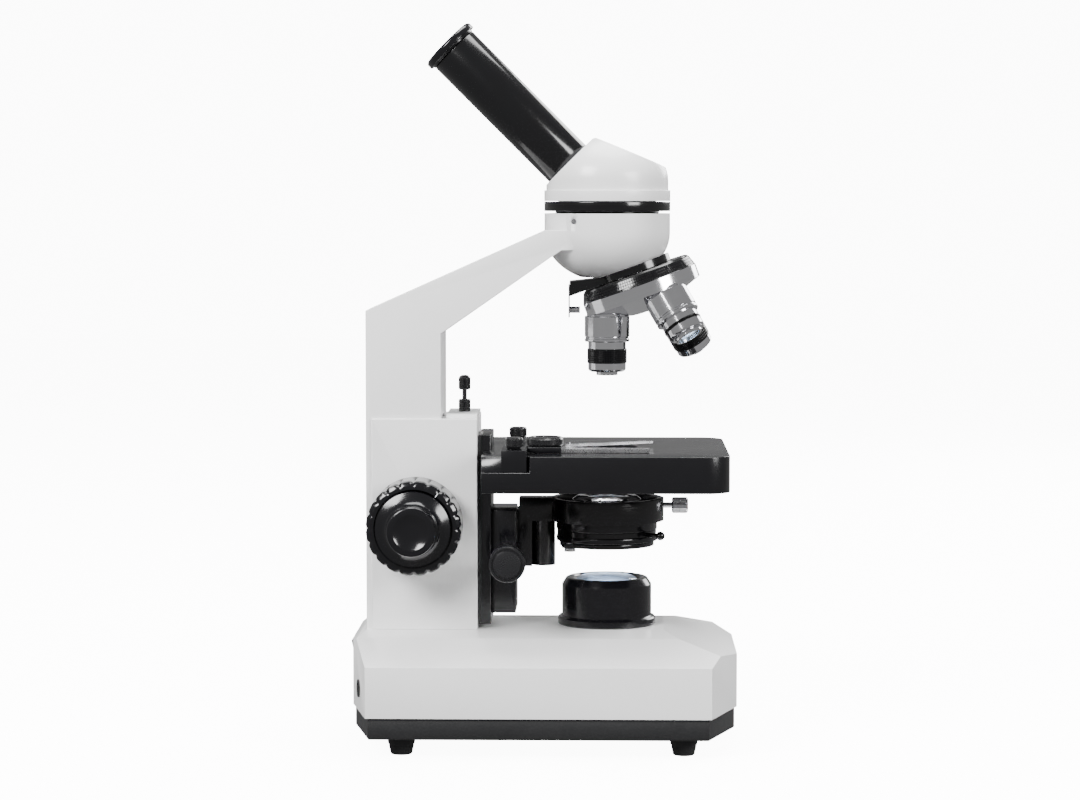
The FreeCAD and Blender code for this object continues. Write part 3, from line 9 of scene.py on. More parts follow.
import json
import logging
import math
from dataclasses import dataclass
from enum import Enum
from typing import Callable, Iterable, Sequence

import bmesh
import bpy
from mathutils import Matrix, Vector


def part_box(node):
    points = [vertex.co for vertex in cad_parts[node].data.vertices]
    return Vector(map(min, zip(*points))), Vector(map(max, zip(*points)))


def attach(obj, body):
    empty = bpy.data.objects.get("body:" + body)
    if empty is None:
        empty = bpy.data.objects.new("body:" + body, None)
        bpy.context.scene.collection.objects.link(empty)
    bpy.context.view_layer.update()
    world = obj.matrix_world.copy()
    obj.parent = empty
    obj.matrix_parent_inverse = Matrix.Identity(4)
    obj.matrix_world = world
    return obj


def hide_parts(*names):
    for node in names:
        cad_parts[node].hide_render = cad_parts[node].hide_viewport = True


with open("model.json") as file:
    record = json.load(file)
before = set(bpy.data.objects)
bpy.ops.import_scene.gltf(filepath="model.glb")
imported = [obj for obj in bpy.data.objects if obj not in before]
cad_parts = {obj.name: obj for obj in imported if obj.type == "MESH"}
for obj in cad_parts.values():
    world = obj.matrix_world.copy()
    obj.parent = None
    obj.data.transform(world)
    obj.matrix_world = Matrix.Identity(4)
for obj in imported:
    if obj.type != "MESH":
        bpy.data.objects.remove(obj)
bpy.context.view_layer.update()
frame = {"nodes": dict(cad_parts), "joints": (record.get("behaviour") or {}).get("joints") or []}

MM = 0.001
UP = Vector((0, 0, 1))
MERGE = 1e-7
MODEL_MERGE = 2e-6
NO_AREA = 1e-14
FLAT_DEGREES = 0.6
WALL_DEPTH = 0.5 * MM
LOG = logging.getLogger("microscope")
Outline = Sequence[tuple[float, float]]
Colour = tuple[float, float, float]


# ------------------------------------------------------------------------- shader graph

class Value:
    """A shader socket that takes part in Python arithmetic."""

    def __init__(self, graph: "Graph", socket: bpy.types.NodeSocket) -> None:
        """Wrap a socket of a graph."""
        self.graph = graph
        self.socket = socket

    def _math(self, operation: str, first: object, second: object = 0.0) -> "Value":
        """Add one Math node and return its result."""
        node = self.graph.node("ShaderNodeMath", {"operation": operation},
                               {0: first, 1: second})
        return Value(self.graph, node.outputs[0])

    def __add__(self, other: object) -> "Value":
        """Add a number or a value."""
        return self._math("ADD", self, other)

    def __radd__(self, other: object) -> "Value":
        """Add to a number."""
        return self._math("ADD", other, self)

    def __sub__(self, other: object) -> "Value":
        """Subtract a number or a value."""
        return self._math("SUBTRACT", self, other)

    def __rsub__(self, other: object) -> "Value":
        """Subtract from a number."""
        return self._math("SUBTRACT", other, self)

    def __mul__(self, other: object) -> "Value":
        """Multiply by a number or a value."""
        return self._math("MULTIPLY", self, other)

    def __rmul__(self, other: object) -> "Value":
        """Multiply a number."""
        return self._math("MULTIPLY", other, self)

    def above(self, edge: float, soft: float) -> "Value":
        """Ramp from 0 to 1 where the value passes an edge.

        Args:
            edge: The value at the middle of the ramp.
            soft: Half the ramp's width.

        Returns:
            The ramp.
        """
        node = self.graph.node("ShaderNodeMapRange", {"interpolation_type": "SMOOTHSTEP"},
                               {0: self, 1: edge - soft, 2: edge + soft})
        return Value(self.graph, node.outputs[0])


class Graph:
    """A material's node tree, written from Python."""

    def __init__(self, name: str) -> None:
        """Start an empty material with a Principled surface."""
        self.material = bpy.data.materials.new(name)
        self.material.use_nodes = True
        self.tree = self.material.node_tree
        self.shader = self.tree.nodes["Principled BSDF"]
        coordinates = self.node("ShaderNodeTexCoord", {}, {})
        self.point = coordinates.outputs["Object"]

    def node(self, kind: str, settings: dict[str, object],
             inputs: dict[int | str, object]) -> bpy.types.Node:
        """Add a node.

        Args:
            kind: The node's type.
            settings: Attributes set before the sockets.
            inputs: Numbers, sockets or values by socket name or number.

        Returns:
            The new node.
        """
        node = self.tree.nodes.new(kind)
        for name, setting in settings.items():
            setattr(node, name, setting)
        for name, given in inputs.items():
            self.feed(node.inputs[name], given)
        return node

    def feed(self, socket: bpy.types.NodeSocket, given: object) -> None:
        """Link or set one input socket.

        Args:
            socket: The input.
            given: A value or a socket to link, or a plain number or colour.
        """
        if isinstance(given, Value):
            given = given.socket
        if isinstance(given, bpy.types.NodeSocket):
            self.tree.links.new(given, socket)
        else:
            socket.default_value = given

    def noise(self, vector: object, scale: float, detail: float = 2.0) -> Value:
        """Return a noise field between 0 and 1."""
        node = self.node("ShaderNodeTexNoise", {},
                         {"Vector": vector, "Scale": scale, "Detail": detail})
        return Value(self, node.outputs[0])

    def cells(self, scale: float) -> Value:
        """Return the distance field of a cell pattern, for moulded grain."""
        node = self.node("ShaderNodeTexVoronoi", {"feature": "F1"},
                         {"Vector": self.point, "Scale": scale})
        return Value(self, node.outputs["Distance"])

    def blend(self, factor: object, first: Colour, second: Colour) -> bpy.types.NodeSocket:
        """Mix two colours by a factor and return the colour."""
        node = self.node("ShaderNodeMix", {"data_type": "RGBA"},
                         {0: factor, 6: (*first, 1.0), 7: (*second, 1.0)})
        return node.outputs[2]

    def rings(self, centre: Vector, axis: Vector, scale: float) -> Value:
        """Return noise that is constant round an axis, as on a turned surface.

        Args:
            centre: A point on the axis.
            axis: The axis of turning.
            scale: Lines per metre.

        Returns:
            The line pattern between 0 and 1.
        """
        offset = self.node("ShaderNodeVectorMath", {"operation": "SUBTRACT"},
                           {0: self.point, 1: tuple(centre)}).outputs[0]
        along = self.node("ShaderNodeVectorMath", {"operation": "DOT_PRODUCT"},
                          {0: offset, 1: tuple(axis)}).outputs["Value"]
        across = self.node("ShaderNodeVectorMath", {"operation": "CROSS_PRODUCT"},
                           {0: offset, 1: tuple(axis)}).outputs[0]
        radius = self.node("ShaderNodeVectorMath", {"operation": "LENGTH"},
                           {0: across}).outputs["Value"]
        pair = self.node("ShaderNodeCombineXYZ", {}, {0: along, 1: radius}).outputs[0]
        return self.noise(pair, scale, 3.0)

    def bump(self, height: Value, strength: float, distance: float) -> None:
        """Press a height field into the surface's normal.

        Args:
            height: The field.
            strength: Share of the relief that is used.
            distance: Height of the relief in metres.
        """
        node = self.node("ShaderNodeBump", {}, {"Height": height, "Strength": strength,
                                                "Distance": distance})
        self.feed(self.shader.inputs["Normal"], node.outputs[0])


# ------------------------------------------------------------------------- finishes

class Grain(Enum):
    """How fine relief is laid on a surface."""

    SMOOTH = "smooth"
    ORANGE_PEEL = "orange peel"
    MOULDED = "moulded"
    TURNED = "turned"


@dataclass(frozen=True)
class Finish:
    """One surface finish, written as a procedural material."""

    name: str
    colour: Colour
    shade: Colour
    roughness: float
    spread: float = 0.06
    metallic: float = 0.0
    coat: float = 0.0
    grain: Grain = Grain.SMOOTH
    scale: float = 900.0
    depth: float = 0.00003
    centre: tuple[float, float, float] = (0.0, 0.0, 0.0)
    axis: tuple[float, float, float] = (0.0, 0.0, 1.0)

    def build(self) -> bpy.types.Material:
        """Write the material."""
        graph = Graph(self.name)
        broad = graph.noise(graph.point, 28.0, 3.0)
        smudge = graph.noise(graph.point, 140.0, 4.0)
        if self.grain is Grain.TURNED:
            fine = graph.rings(Vector(self.centre), Vector(self.axis).normalized(), self.scale)
        elif self.grain is Grain.MOULDED:
            fine = graph.cells(self.scale)
        else:
            fine = graph.noise(graph.point, self.scale, 2.0)
        shader = graph.shader
        tone = broad * 0.6 + fine * 0.4
        graph.feed(shader.inputs["Base Color"],
                   graph.blend(tone.above(0.5, 0.35), self.shade, self.colour))
        rough = self.roughness + (smudge - 0.5) * self.spread + (fine - 0.5) * self.spread
        graph.feed(shader.inputs["Roughness"], rough)
        shader.inputs["Metallic"].default_value = self.metallic
        shader.inputs["Coat Weight"].default_value = self.coat
        shader.inputs["Coat Roughness"].default_value = 0.12
        if self.grain is not Grain.SMOOTH:
            graph.bump(fine, 0.6, self.depth)
        return graph.material


@dataclass(frozen=True)
class Glass:
    """Coated optical glass with a faint bloom on its surface."""

    name: str = "coated_glass"
    tint: Colour = (0.82, 0.90, 0.95)

    def build(self) -> bpy.types.Material:
        """Write the material."""
        graph = Graph(self.name)
        dust = graph.noise(graph.point, 1400.0, 3.0)
        shader = graph.shader
        graph.feed(shader.inputs["Base Color"],
                   graph.blend(dust.above(0.62, 0.1), self.tint, (0.72, 0.78, 0.86)))
        graph.feed(shader.inputs["Roughness"], 0.03 + dust * 0.05)
        shader.inputs["Transmission Weight"].default_value = 0.85
        shader.inputs["IOR"].default_value = 1.52
        shader.inputs["Coat Weight"].default_value = 0.4
        shader.inputs["Coat Tint"].default_value = (0.75, 0.85, 1.0, 1.0)
        return graph.material


@dataclass(frozen=True)
class Lamp:
    """A phosphor emitter behind a clear dome, on a white star board."""

    name: str = "lamp_face"

    def build(self) -> bpy.types.Material:
        """Write the material."""
        graph = Graph(self.name)
        mottle = graph.noise(graph.point, 600.0, 2.0)
        graph.feed(graph.shader.inputs["Base Color"],
                   graph.blend(mottle, (0.85, 0.82, 0.62), (0.93, 0.92, 0.86)))
        graph.feed(graph.shader.inputs["Roughness"], 0.3 + mottle * 0.2)
        return graph.material


WHITE = Finish("white_enamel", (0.90, 0.90, 0.90), (0.87, 0.87, 0.87), 0.30, 0.05, 0.0, 0.25,
               Grain.ORANGE_PEEL, 420.0, 0.00002)
TRAY = Finish("tray_plastic", (0.012, 0.012, 0.013), (0.007, 0.007, 0.008), 0.50, 0.12,
              grain=Grain.MOULDED, scale=1500.0, depth=0.00008)
RUBBER = Finish("foot_rubber", (0.016, 0.016, 0.017), (0.010, 0.010, 0.011), 0.72, 0.15,
                grain=Grain.ORANGE_PEEL, scale=1600.0, depth=0.00005)
KNOB = Finish("knob_plastic", (0.012, 0.012, 0.013), (0.007, 0.007, 0.008), 0.27, 0.10,
              coat=0.2, grain=Grain.ORANGE_PEEL, scale=2200.0, depth=0.00002)
SATIN = Finish("satin_black", (0.003, 0.003, 0.004), (0.002, 0.002, 0.002), 0.15, 0.06,
               coat=0.15, grain=Grain.ORANGE_PEEL, scale=2600.0, depth=0.00001)
LACQUER = Finish("stage_lacquer", (0.004, 0.004, 0.005), (0.002, 0.002, 0.003), 0.22, 0.06,
                 coat=0.1, grain=Grain.MOULDED, scale=3200.0, depth=0.00001)
STEEL = Finish("ground_steel", (0.62, 0.62, 0.63), (0.50, 0.50, 0.52), 0.28, 0.16, 1.0,
               grain=Grain.ORANGE_PEEL, scale=2400.0, depth=0.00001)
ALUMINIUM = Finish("machined_aluminium", (0.78, 0.79, 0.80), (0.66, 0.67, 0.69), 0.32, 0.14,
                   1.0, grain=Grain.ORANGE_PEEL, scale=1800.0, depth=0.00001)
BRASS = Finish("turned_brass", (0.80, 0.60, 0.28), (0.62, 0.44, 0.18), 0.26, 0.14, 1.0,
               grain=Grain.ORANGE_PEEL, scale=1800.0, depth=0.00001)
BOARD = Finish("solder_mask", (0.03, 0.20, 0.08), (0.02, 0.13, 0.05), 0.35, 0.1,
               grain=Grain.MOULDED, scale=700.0, depth=0.00004)


# ------------------------------------------------------------------------- mesh building

def band_steps(low: float, high: float, count: int) -> list[float]:
    """Return evenly spaced stations from low to high, both included."""
    return [low + (high - low) * step / count for step in range(count + 1)]


class Piece:
    """A mesh under construction, and the finished object that it becomes."""

    def __init__(self, name: str) -> None:
        """Start an empty mesh."""
        self.name = name
        self.mesh = bmesh.new()

    def spin(self, outline: Outline, steps: int) -> "Piece":
        """Turn a closed outline of (radius, height) points about Z.

        Args:
            outline: The section, in order.
            steps: Facets round the axis.

        Returns:
            The piece itself.
        """
        corners = [self.mesh.verts.new((radius, 0.0, height)) for radius, height in outline]
        edges = [self.mesh.edges.new((corner, corners[(index + 1) % len(corners)]))
                 for index, corner in enumerate(corners)]
        bmesh.ops.spin(self.mesh, geom=corners + edges, cent=(0, 0, 0), axis=(0, 0, 1),
                       angle=math.tau, steps=steps, use_merge=True, use_duplicate=False)
        bmesh.ops.remove_doubles(self.mesh, verts=self.mesh.verts, dist=MERGE)
        loose = [face for face in self.mesh.faces if face.calc_area() < NO_AREA]
        bmesh.ops.delete(self.mesh, geom=loose, context="FACES")
        bmesh.ops.recalc_face_normals(self.mesh, faces=self.mesh.faces)
        return self

    def copy_node(self, node: str) -> "Piece":
        """Start from a merged copy of a model node, its flat faces made whole."""
        self.mesh.from_mesh(frame["nodes"][node].data)
        bmesh.ops.remove_doubles(self.mesh, verts=self.mesh.verts, dist=MODEL_MERGE)
        bmesh.ops.dissolve_limit(self.mesh, angle_limit=math.radians(FLAT_DEGREES),
                                 verts=self.mesh.verts, edges=self.mesh.edges)
        return self

    def soften(self, width: float, angle: float = 30.0, segments: int = 3,
               keep: Callable[[bmesh.types.BMEdge], bool] | None = None) -> "Piece":
        """Round the sharp edges.

        Args:
            width: Width of the rounding.
            angle: Edges sharper than this many degrees are rounded.
            segments: Facets across the rounding.
            keep: Chooses among the sharp edges; all of them when left out.

        Returns:
            The piece itself.
        """
        sharp = [edge for edge in self.mesh.edges
                 if len(edge.link_faces) == 2
                 and edge.calc_face_angle(0.0) > math.radians(angle)
                 and (keep is None or keep(edge))]
        bmesh.ops.bevel(self.mesh, geom=sharp, offset=width, offset_type="OFFSET",
                        affect="EDGES", segments=segments, profile=0.5, material=-1,
                        clamp_overlap=True)
        return self

    def knurl(self, chosen: Callable[[Vector], bool], rim: float, depth: float) -> "Piece":
        """Raise or sink the middle of each chosen facet.

        Args:
            chosen: Says of a facet's centre whether it belongs to the knurl.
            rim: Width left at the facet's own height.
            depth: How far the middle moves out.

        Returns:
            The piece itself.
        """
        faces = [face for face in self.mesh.faces if chosen(face.calc_center_median())]
        bmesh.ops.inset_individual(self.mesh, faces=faces, thickness=rim, depth=depth,
                                   use_even_offset=True)
        return self

    def move(self, matrix: Matrix) -> "Piece":
        """Put the mesh in its place."""
        bmesh.ops.transform(self.mesh, matrix=matrix, verts=self.mesh.verts)
        return self

    def finish(self, material: bpy.types.Material, body: str, slot: str,
               nodes: Iterable[str] = (), smooth: float = 35.0) -> bpy.types.Object:
        """Make the object, dress it, hang it on its body and hide the model nodes that it stands
        for.

        Args:
            material: The surface's material.
            body: The moving body that it rides on.
            slot: Not used.
            nodes: Model nodes that it stands for.
            smooth: Edges sharper than this many degrees stay crisp.

        Returns:
            The finished object.
        """
        data = bpy.data.meshes.new(self.name)
        bmesh.ops.dissolve_degenerate(self.mesh, dist=MERGE, edges=self.mesh.edges)
        self.mesh.to_mesh(data)
        self.mesh.free()
        for polygon in data.polygons:
            polygon.use_smooth = True
        data.set_sharp_from_angle(angle=math.radians(smooth))
        item = bpy.data.objects.new(self.name, data)
        bpy.context.scene.collection.objects.link(item)
        data.materials.append(material)
        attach(item, body)
        names = list(nodes)
        if names:
            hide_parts(*names)
        LOG.info("%s: %d faces on %s", self.name, len(data.polygons), body)
        return item


def along(axis: Vector, origin: Vector) -> Matrix:
    """Return the placement that carries +Z at the origin onto an axis.

    Args:
        axis: The direction that +Z takes.
        origin: Where the origin goes.

    Returns:
        The placement.
    """
    turn = UP.rotation_difference(axis.normalized()).to_matrix().to_4x4()
    return Matrix.Translation(origin) @ turn


def dress(material: bpy.types.Material, *nodes: str) -> None:
    """Give model nodes a material.

    Args:
        material: The surface's material.
        nodes: The nodes' names.
    """
    for name in nodes:
        data = frame["nodes"][name].data
        data.materials.clear()
        data.materials.append(material)


def outer_wall(radius: float, low: float = -math.inf, high: float = math.inf
               ) -> Callable[[Vector], bool]:
    """Return the test for facets on a turned piece's outer wall.

    Args:
        radius: The wall's radius.
        low: Facets have to lie above this height.
        high: Facets have to lie below this height.

    Returns:
        A function that says of a facet's centre whether it is on the wall.
    """
    def chosen(centre: Vector) -> bool:
        """Say whether a facet's centre is on the wall."""
        return centre.xy.length > radius - WALL_DEPTH and low < centre.z < high

    return chosen


def joint(name: str) -> dict[str, object]:
    """Return the record's entry for one joint."""
    return next(entry for entry in frame["joints"] if entry["name"] == name)


def axis_of(name: str) -> tuple[Vector, Vector]:
    """Return a joint's point and direction."""
    entry = joint(name)
    return Vector(entry.get("pos_m", (0, 0, 0))), Vector(entry["axis"])


class Finishes:
    """The materials that are shared between sub-assemblies."""

    def __init__(self) -> None:
        """Write each shared material once."""
        self.white = WHITE.build()
        self.tray = TRAY.build()
        self.rubber = RUBBER.build()
        self.knob = KNOB.build()
        self.satin = SATIN.build()
        self.lacquer = LACQUER.build()
        self.steel = STEEL.build()
        self.aluminium = ALUMINIUM.build()
        self.brass = BRASS.build()
        self.board = BOARD.build()
        self.glass = Glass().build()
        self.lamp = Lamp().build()

    @staticmethod
    def turned(name: str, centre: Vector, axis: Vector, dark: bool = False
               ) -> bpy.types.Material:
        """Write a turned metal whose tool lines run round an axis.

        Args:
            name: The material's name.
            centre: A point on the axis.
            axis: The axis of turning.
            dark: Blacked when true, and plated otherwise.

        Returns:
            The material.
        """
        if dark:
            finish = Finish(name, (0.004, 0.004, 0.005), (0.002, 0.002, 0.003), 0.16, 0.07,
                            coat=0.1, grain=Grain.TURNED, scale=5200.0, depth=0.00002,
                            centre=tuple(centre), axis=tuple(axis))
        else:
            finish = Finish(name, (0.80, 0.80, 0.82), (0.66, 0.66, 0.68), 0.11, 0.08, 1.0,
                            grain=Grain.TURNED, scale=5200.0, depth=0.000012,
                            centre=tuple(centre), axis=tuple(axis))
        return finish.build()


# ------------------------------------------------------------------------- sub-assemblies

@dataclass
class Base:
    """Tray, feet, shell, switch, inlet and lamp."""

    finishes: Finishes
    shell_round: float = 2.2 * MM
    tray_round: float = 0.8 * MM
    foot_inset: float = 7.1 * MM
    collector_mouth: float = 14.9 * MM
    lens_edge: float = 1.4 * MM

    def build(self) -> None:
        """Build and dress every piece of the base."""
        self.shell()
        self.tray()
        self.feet()
        self.collector()
        self.fittings()

    def shell(self) -> None:
        """The enamelled shell, its outer edges rounded as cast."""
        low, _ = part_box("base_shell")

        def outside(edge: bmesh.types.BMEdge) -> bool:
            """Say whether an edge is a long outer one above the rim."""
            middle = (edge.verts[0].co + edge.verts[1].co) / 2
            rim = middle.z < low.z + 0.5 * MM
            return not rim and edge.calc_length() > 9 * MM and edge.is_convex

        piece = Piece("enamelled_shell").copy_node("base_shell")
        piece.soften(self.shell_round, 9.0, 4, outside)
        piece.finish(self.finishes.white, "stand", "white_enamel", ["base_shell"], 40.0)

    def tray(self) -> None:
        """The moulded tray with softened corners."""
        piece = Piece("moulded_tray").copy_node("base_tray")
        piece.soften(self.tray_round, 20.0, 3, lambda edge: edge.calc_length() > 15 * MM)
        piece.finish(self.finishes.tray, "stand", "black_plastic", ["base_tray"], 40.0)

    def feet(self) -> None:
        """Four rubber feet, each with a rolled rim and a moulded groove."""
        low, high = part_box("rubber_feet")
        inset = self.foot_inset
        top = high.z
        outline = [(0.0, 0.0), (2.2 * MM, 0.0), (2.8 * MM, 0.7 * MM), (3.6 * MM, 0.7 * MM),
                   (4.2 * MM, 0.0), (4.8 * MM, 0.0), (5.2 * MM, 0.4 * MM),
                   (6.0 * MM, top * 0.42), (6.0 * MM, top * 0.5), (6.4 * MM, top * 0.55),
                   (7.0 * MM, top * 0.96), (7.05 * MM, top), (0.0, top)]
        places = [(x, y) for x in (low.x + inset, high.x - inset)
                  for y in (low.y + inset, high.y - inset)]
        piece = Piece("rubber_foot_set").spin(outline, 48)
        first = list(piece.mesh.verts) + list(piece.mesh.edges) + list(piece.mesh.faces)
        for x, y in places[1:]:
            again = bmesh.ops.duplicate(piece.mesh, geom=first)["geom"]
            corners = [part for part in again if isinstance(part, bmesh.types.BMVert)]
            bmesh.ops.translate(piece.mesh, verts=corners, vec=(x, y, 0))
        corners = [part for part in first if isinstance(part, bmesh.types.BMVert)]
        bmesh.ops.translate(piece.mesh, verts=corners, vec=(*places[0], 0))
        piece.finish(self.finishes.rubber, "stand", "rubber", ["rubber_feet"])

    def collector(self) -> None:
        """The collector's housing, turned and blacked, with its domed lens."""
        low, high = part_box("collector_housing")
        centre = Vector(((low.x + high.x) / 2, 0, low.z))
        tall = high.z - low.z
        flange = (high.x - low.x) / 2
        barrel, mouth = flange - 2 * MM, self.collector_mouth
        outline = [(mouth, 0), (flange - 0.5 * MM, 0), (flange, 0.5 * MM),
                   (flange, 3.3 * MM), (flange - 0.6 * MM, 4 * MM), (barrel + 0.4 * MM, 4 * MM),
                   (barrel, 4.5 * MM), (barrel, tall - 3.4 * MM),
                   (barrel - 0.3 * MM, tall - 2.9 * MM),
                   (barrel - 2.0 * MM, tall - 0.3 * MM), (barrel - 2.6 * MM, tall),
                   (mouth + 2.4 * MM, tall), (mouth + 1.4 * MM, tall - 0.7 * MM),
                   (mouth + 0.5 * MM, tall - 3 * MM), (mouth - 1.4 * MM, tall - 3.1 * MM),
                   (mouth - 1.4 * MM, tall - 6.8 * MM), (mouth, tall - 6.8 * MM)]
        black = Finishes.turned("blacked_collector", centre, UP, True)
        Piece("collector_barrel").spin(outline, 128).move(Matrix.Translation(centre)).finish(
            black, "stand", "black_anodised", ["collector_housing"], 30.0)
        low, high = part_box("collector_lens")
        radius = (high.x - low.x) / 2
        edge = self.lens_edge
        rise = high.z - low.z - edge
        dome = [(0.0, 0.0), (radius, 0.0), (radius, edge)]
        dome += [(radius * math.cos(angle), edge + rise * math.sin(angle))
                 for angle in band_steps(0.12, math.pi / 2 - 0.08, 12)]
        dome += [(0.0, edge + rise)]
        at = Matrix.Translation((centre.x, 0, low.z))
        Piece("field_lens").spin(dome, 96).move(at).finish(
            self.finishes.glass, "stand", "glass", ["collector_lens"])

    def fittings(self) -> None:
        """Switch, inlet, lamp, board and screws."""
        switch = Piece("rocker").copy_node("rocker_switch").soften(0.7 * MM, 20.0, 3)
        switch.finish(self.finishes.knob, "switch", "black_plastic", ["rocker_switch"])
        surround = Piece("switch_surround").copy_node("switch_frame").soften(0.4 * MM, 30.0, 2)
        surround.finish(self.finishes.tray, "stand", "black_plastic", ["switch_frame"])
        dress(self.finishes.tray, "dc_inlet")
        dress(self.finishes.aluminium, "lamp_heatsink")
        dress(self.finishes.lamp, "lamp_led")
        dress(self.finishes.board, "driver_board")
        dress(self.finishes.steel, "tray_screws", "limb_screws")


@dataclass
class Limb:
    """The cast limb, its cover, screws and rings."""

    finishes: Finishes
    cast_round: float = 2.6 * MM
    stop_grip: float = 5.8 * MM
    stop_neck: float = 1.15 * MM
    nut_bore: float = 1.3 * MM

    def build(self) -> None:
        """Build and dress the limb's pieces."""
        def outer(edge: bmesh.types.BMEdge) -> bool:
            """Say whether an edge is a long outer one."""
            return edge.calc_length() > 6 * MM and edge.is_convex

        piece = Piece("cast_limb").copy_node("limb")
        piece.soften(self.cast_round, 24.0, 4, outer)
        piece.finish(self.finishes.white, "stand", "white_enamel", ["limb"], 38.0)
        cover = Piece("channel_cover").copy_node("block_cover").soften(0.6 * MM, 30.0, 3)
        cover.finish(self.finishes.white, "stand", "white_enamel", ["block_cover"])
        ring = Piece("head_seat_ring").copy_node("bowl_ring").soften(0.35 * MM, 30.0, 3)
        ring.finish(self.finishes.satin, "stand", "black_anodised", ["bowl_ring"])
        dress(self.finishes.steel, "limb_small_screws", "detent_spring", "turret_axle")
        dress(self.finishes.satin, "nosepiece_plate")
        self.stop()

    def stop(self) -> None:
        """The stop screw and its nut, both finely knurled."""
        point, _ = axis_of("stop_turn")
        low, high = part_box("stop_screw")
        radius = (high.x - low.x) / 2
        tall = high.z - low.z
        grip, neck = self.stop_grip, self.stop_neck
        start = tall - grip - 1.4 * MM
        outline = [(0, 0), (neck, 0), (neck, start), (radius - 0.4 * MM, start)]
        outline += [(radius - 0.15 * MM, z) for z in band_steps(start + 0.5 * MM,
                                                                start + grip, 5)]
        outline += [(radius - 0.6 * MM, tall - 0.7 * MM), (radius - 1.6 * MM, tall - 0.1 * MM),
                    (0, tall)]

        band = outer_wall(radius, start + 0.5 * MM, start + grip)
        at = Matrix.Translation((point.x, point.y, low.z))
        Piece("stop_screw_head").spin(outline, 36).knurl(band, 0.12 * MM, 0.14 * MM).move(
            at).finish(self.finishes.knob, "stop", "black_anodised", ["stop_screw"], 25.0)
        low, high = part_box("stop_nut")
        radius = (high.x - low.x) / 2
        tall = high.z - low.z
        inner = self.nut_bore
        outline = [(inner, 0), (radius - 0.5 * MM, 0)]
        outline += [(radius - 0.15 * MM, z) for z in band_steps(0.4 * MM, tall - 0.4 * MM, 5)]
        outline += [(radius - 0.5 * MM, tall), (inner, tall)]
        at = Matrix.Translation((point.x, point.y, low.z))
        Piece("stop_lock_nut").spin(outline, 36).knurl(
            outer_wall(radius), 0.12 * MM, 0.14 * MM).move(at).finish(
            self.finishes.knob, "stand", "black_anodised", ["stop_nut"], 25.0)


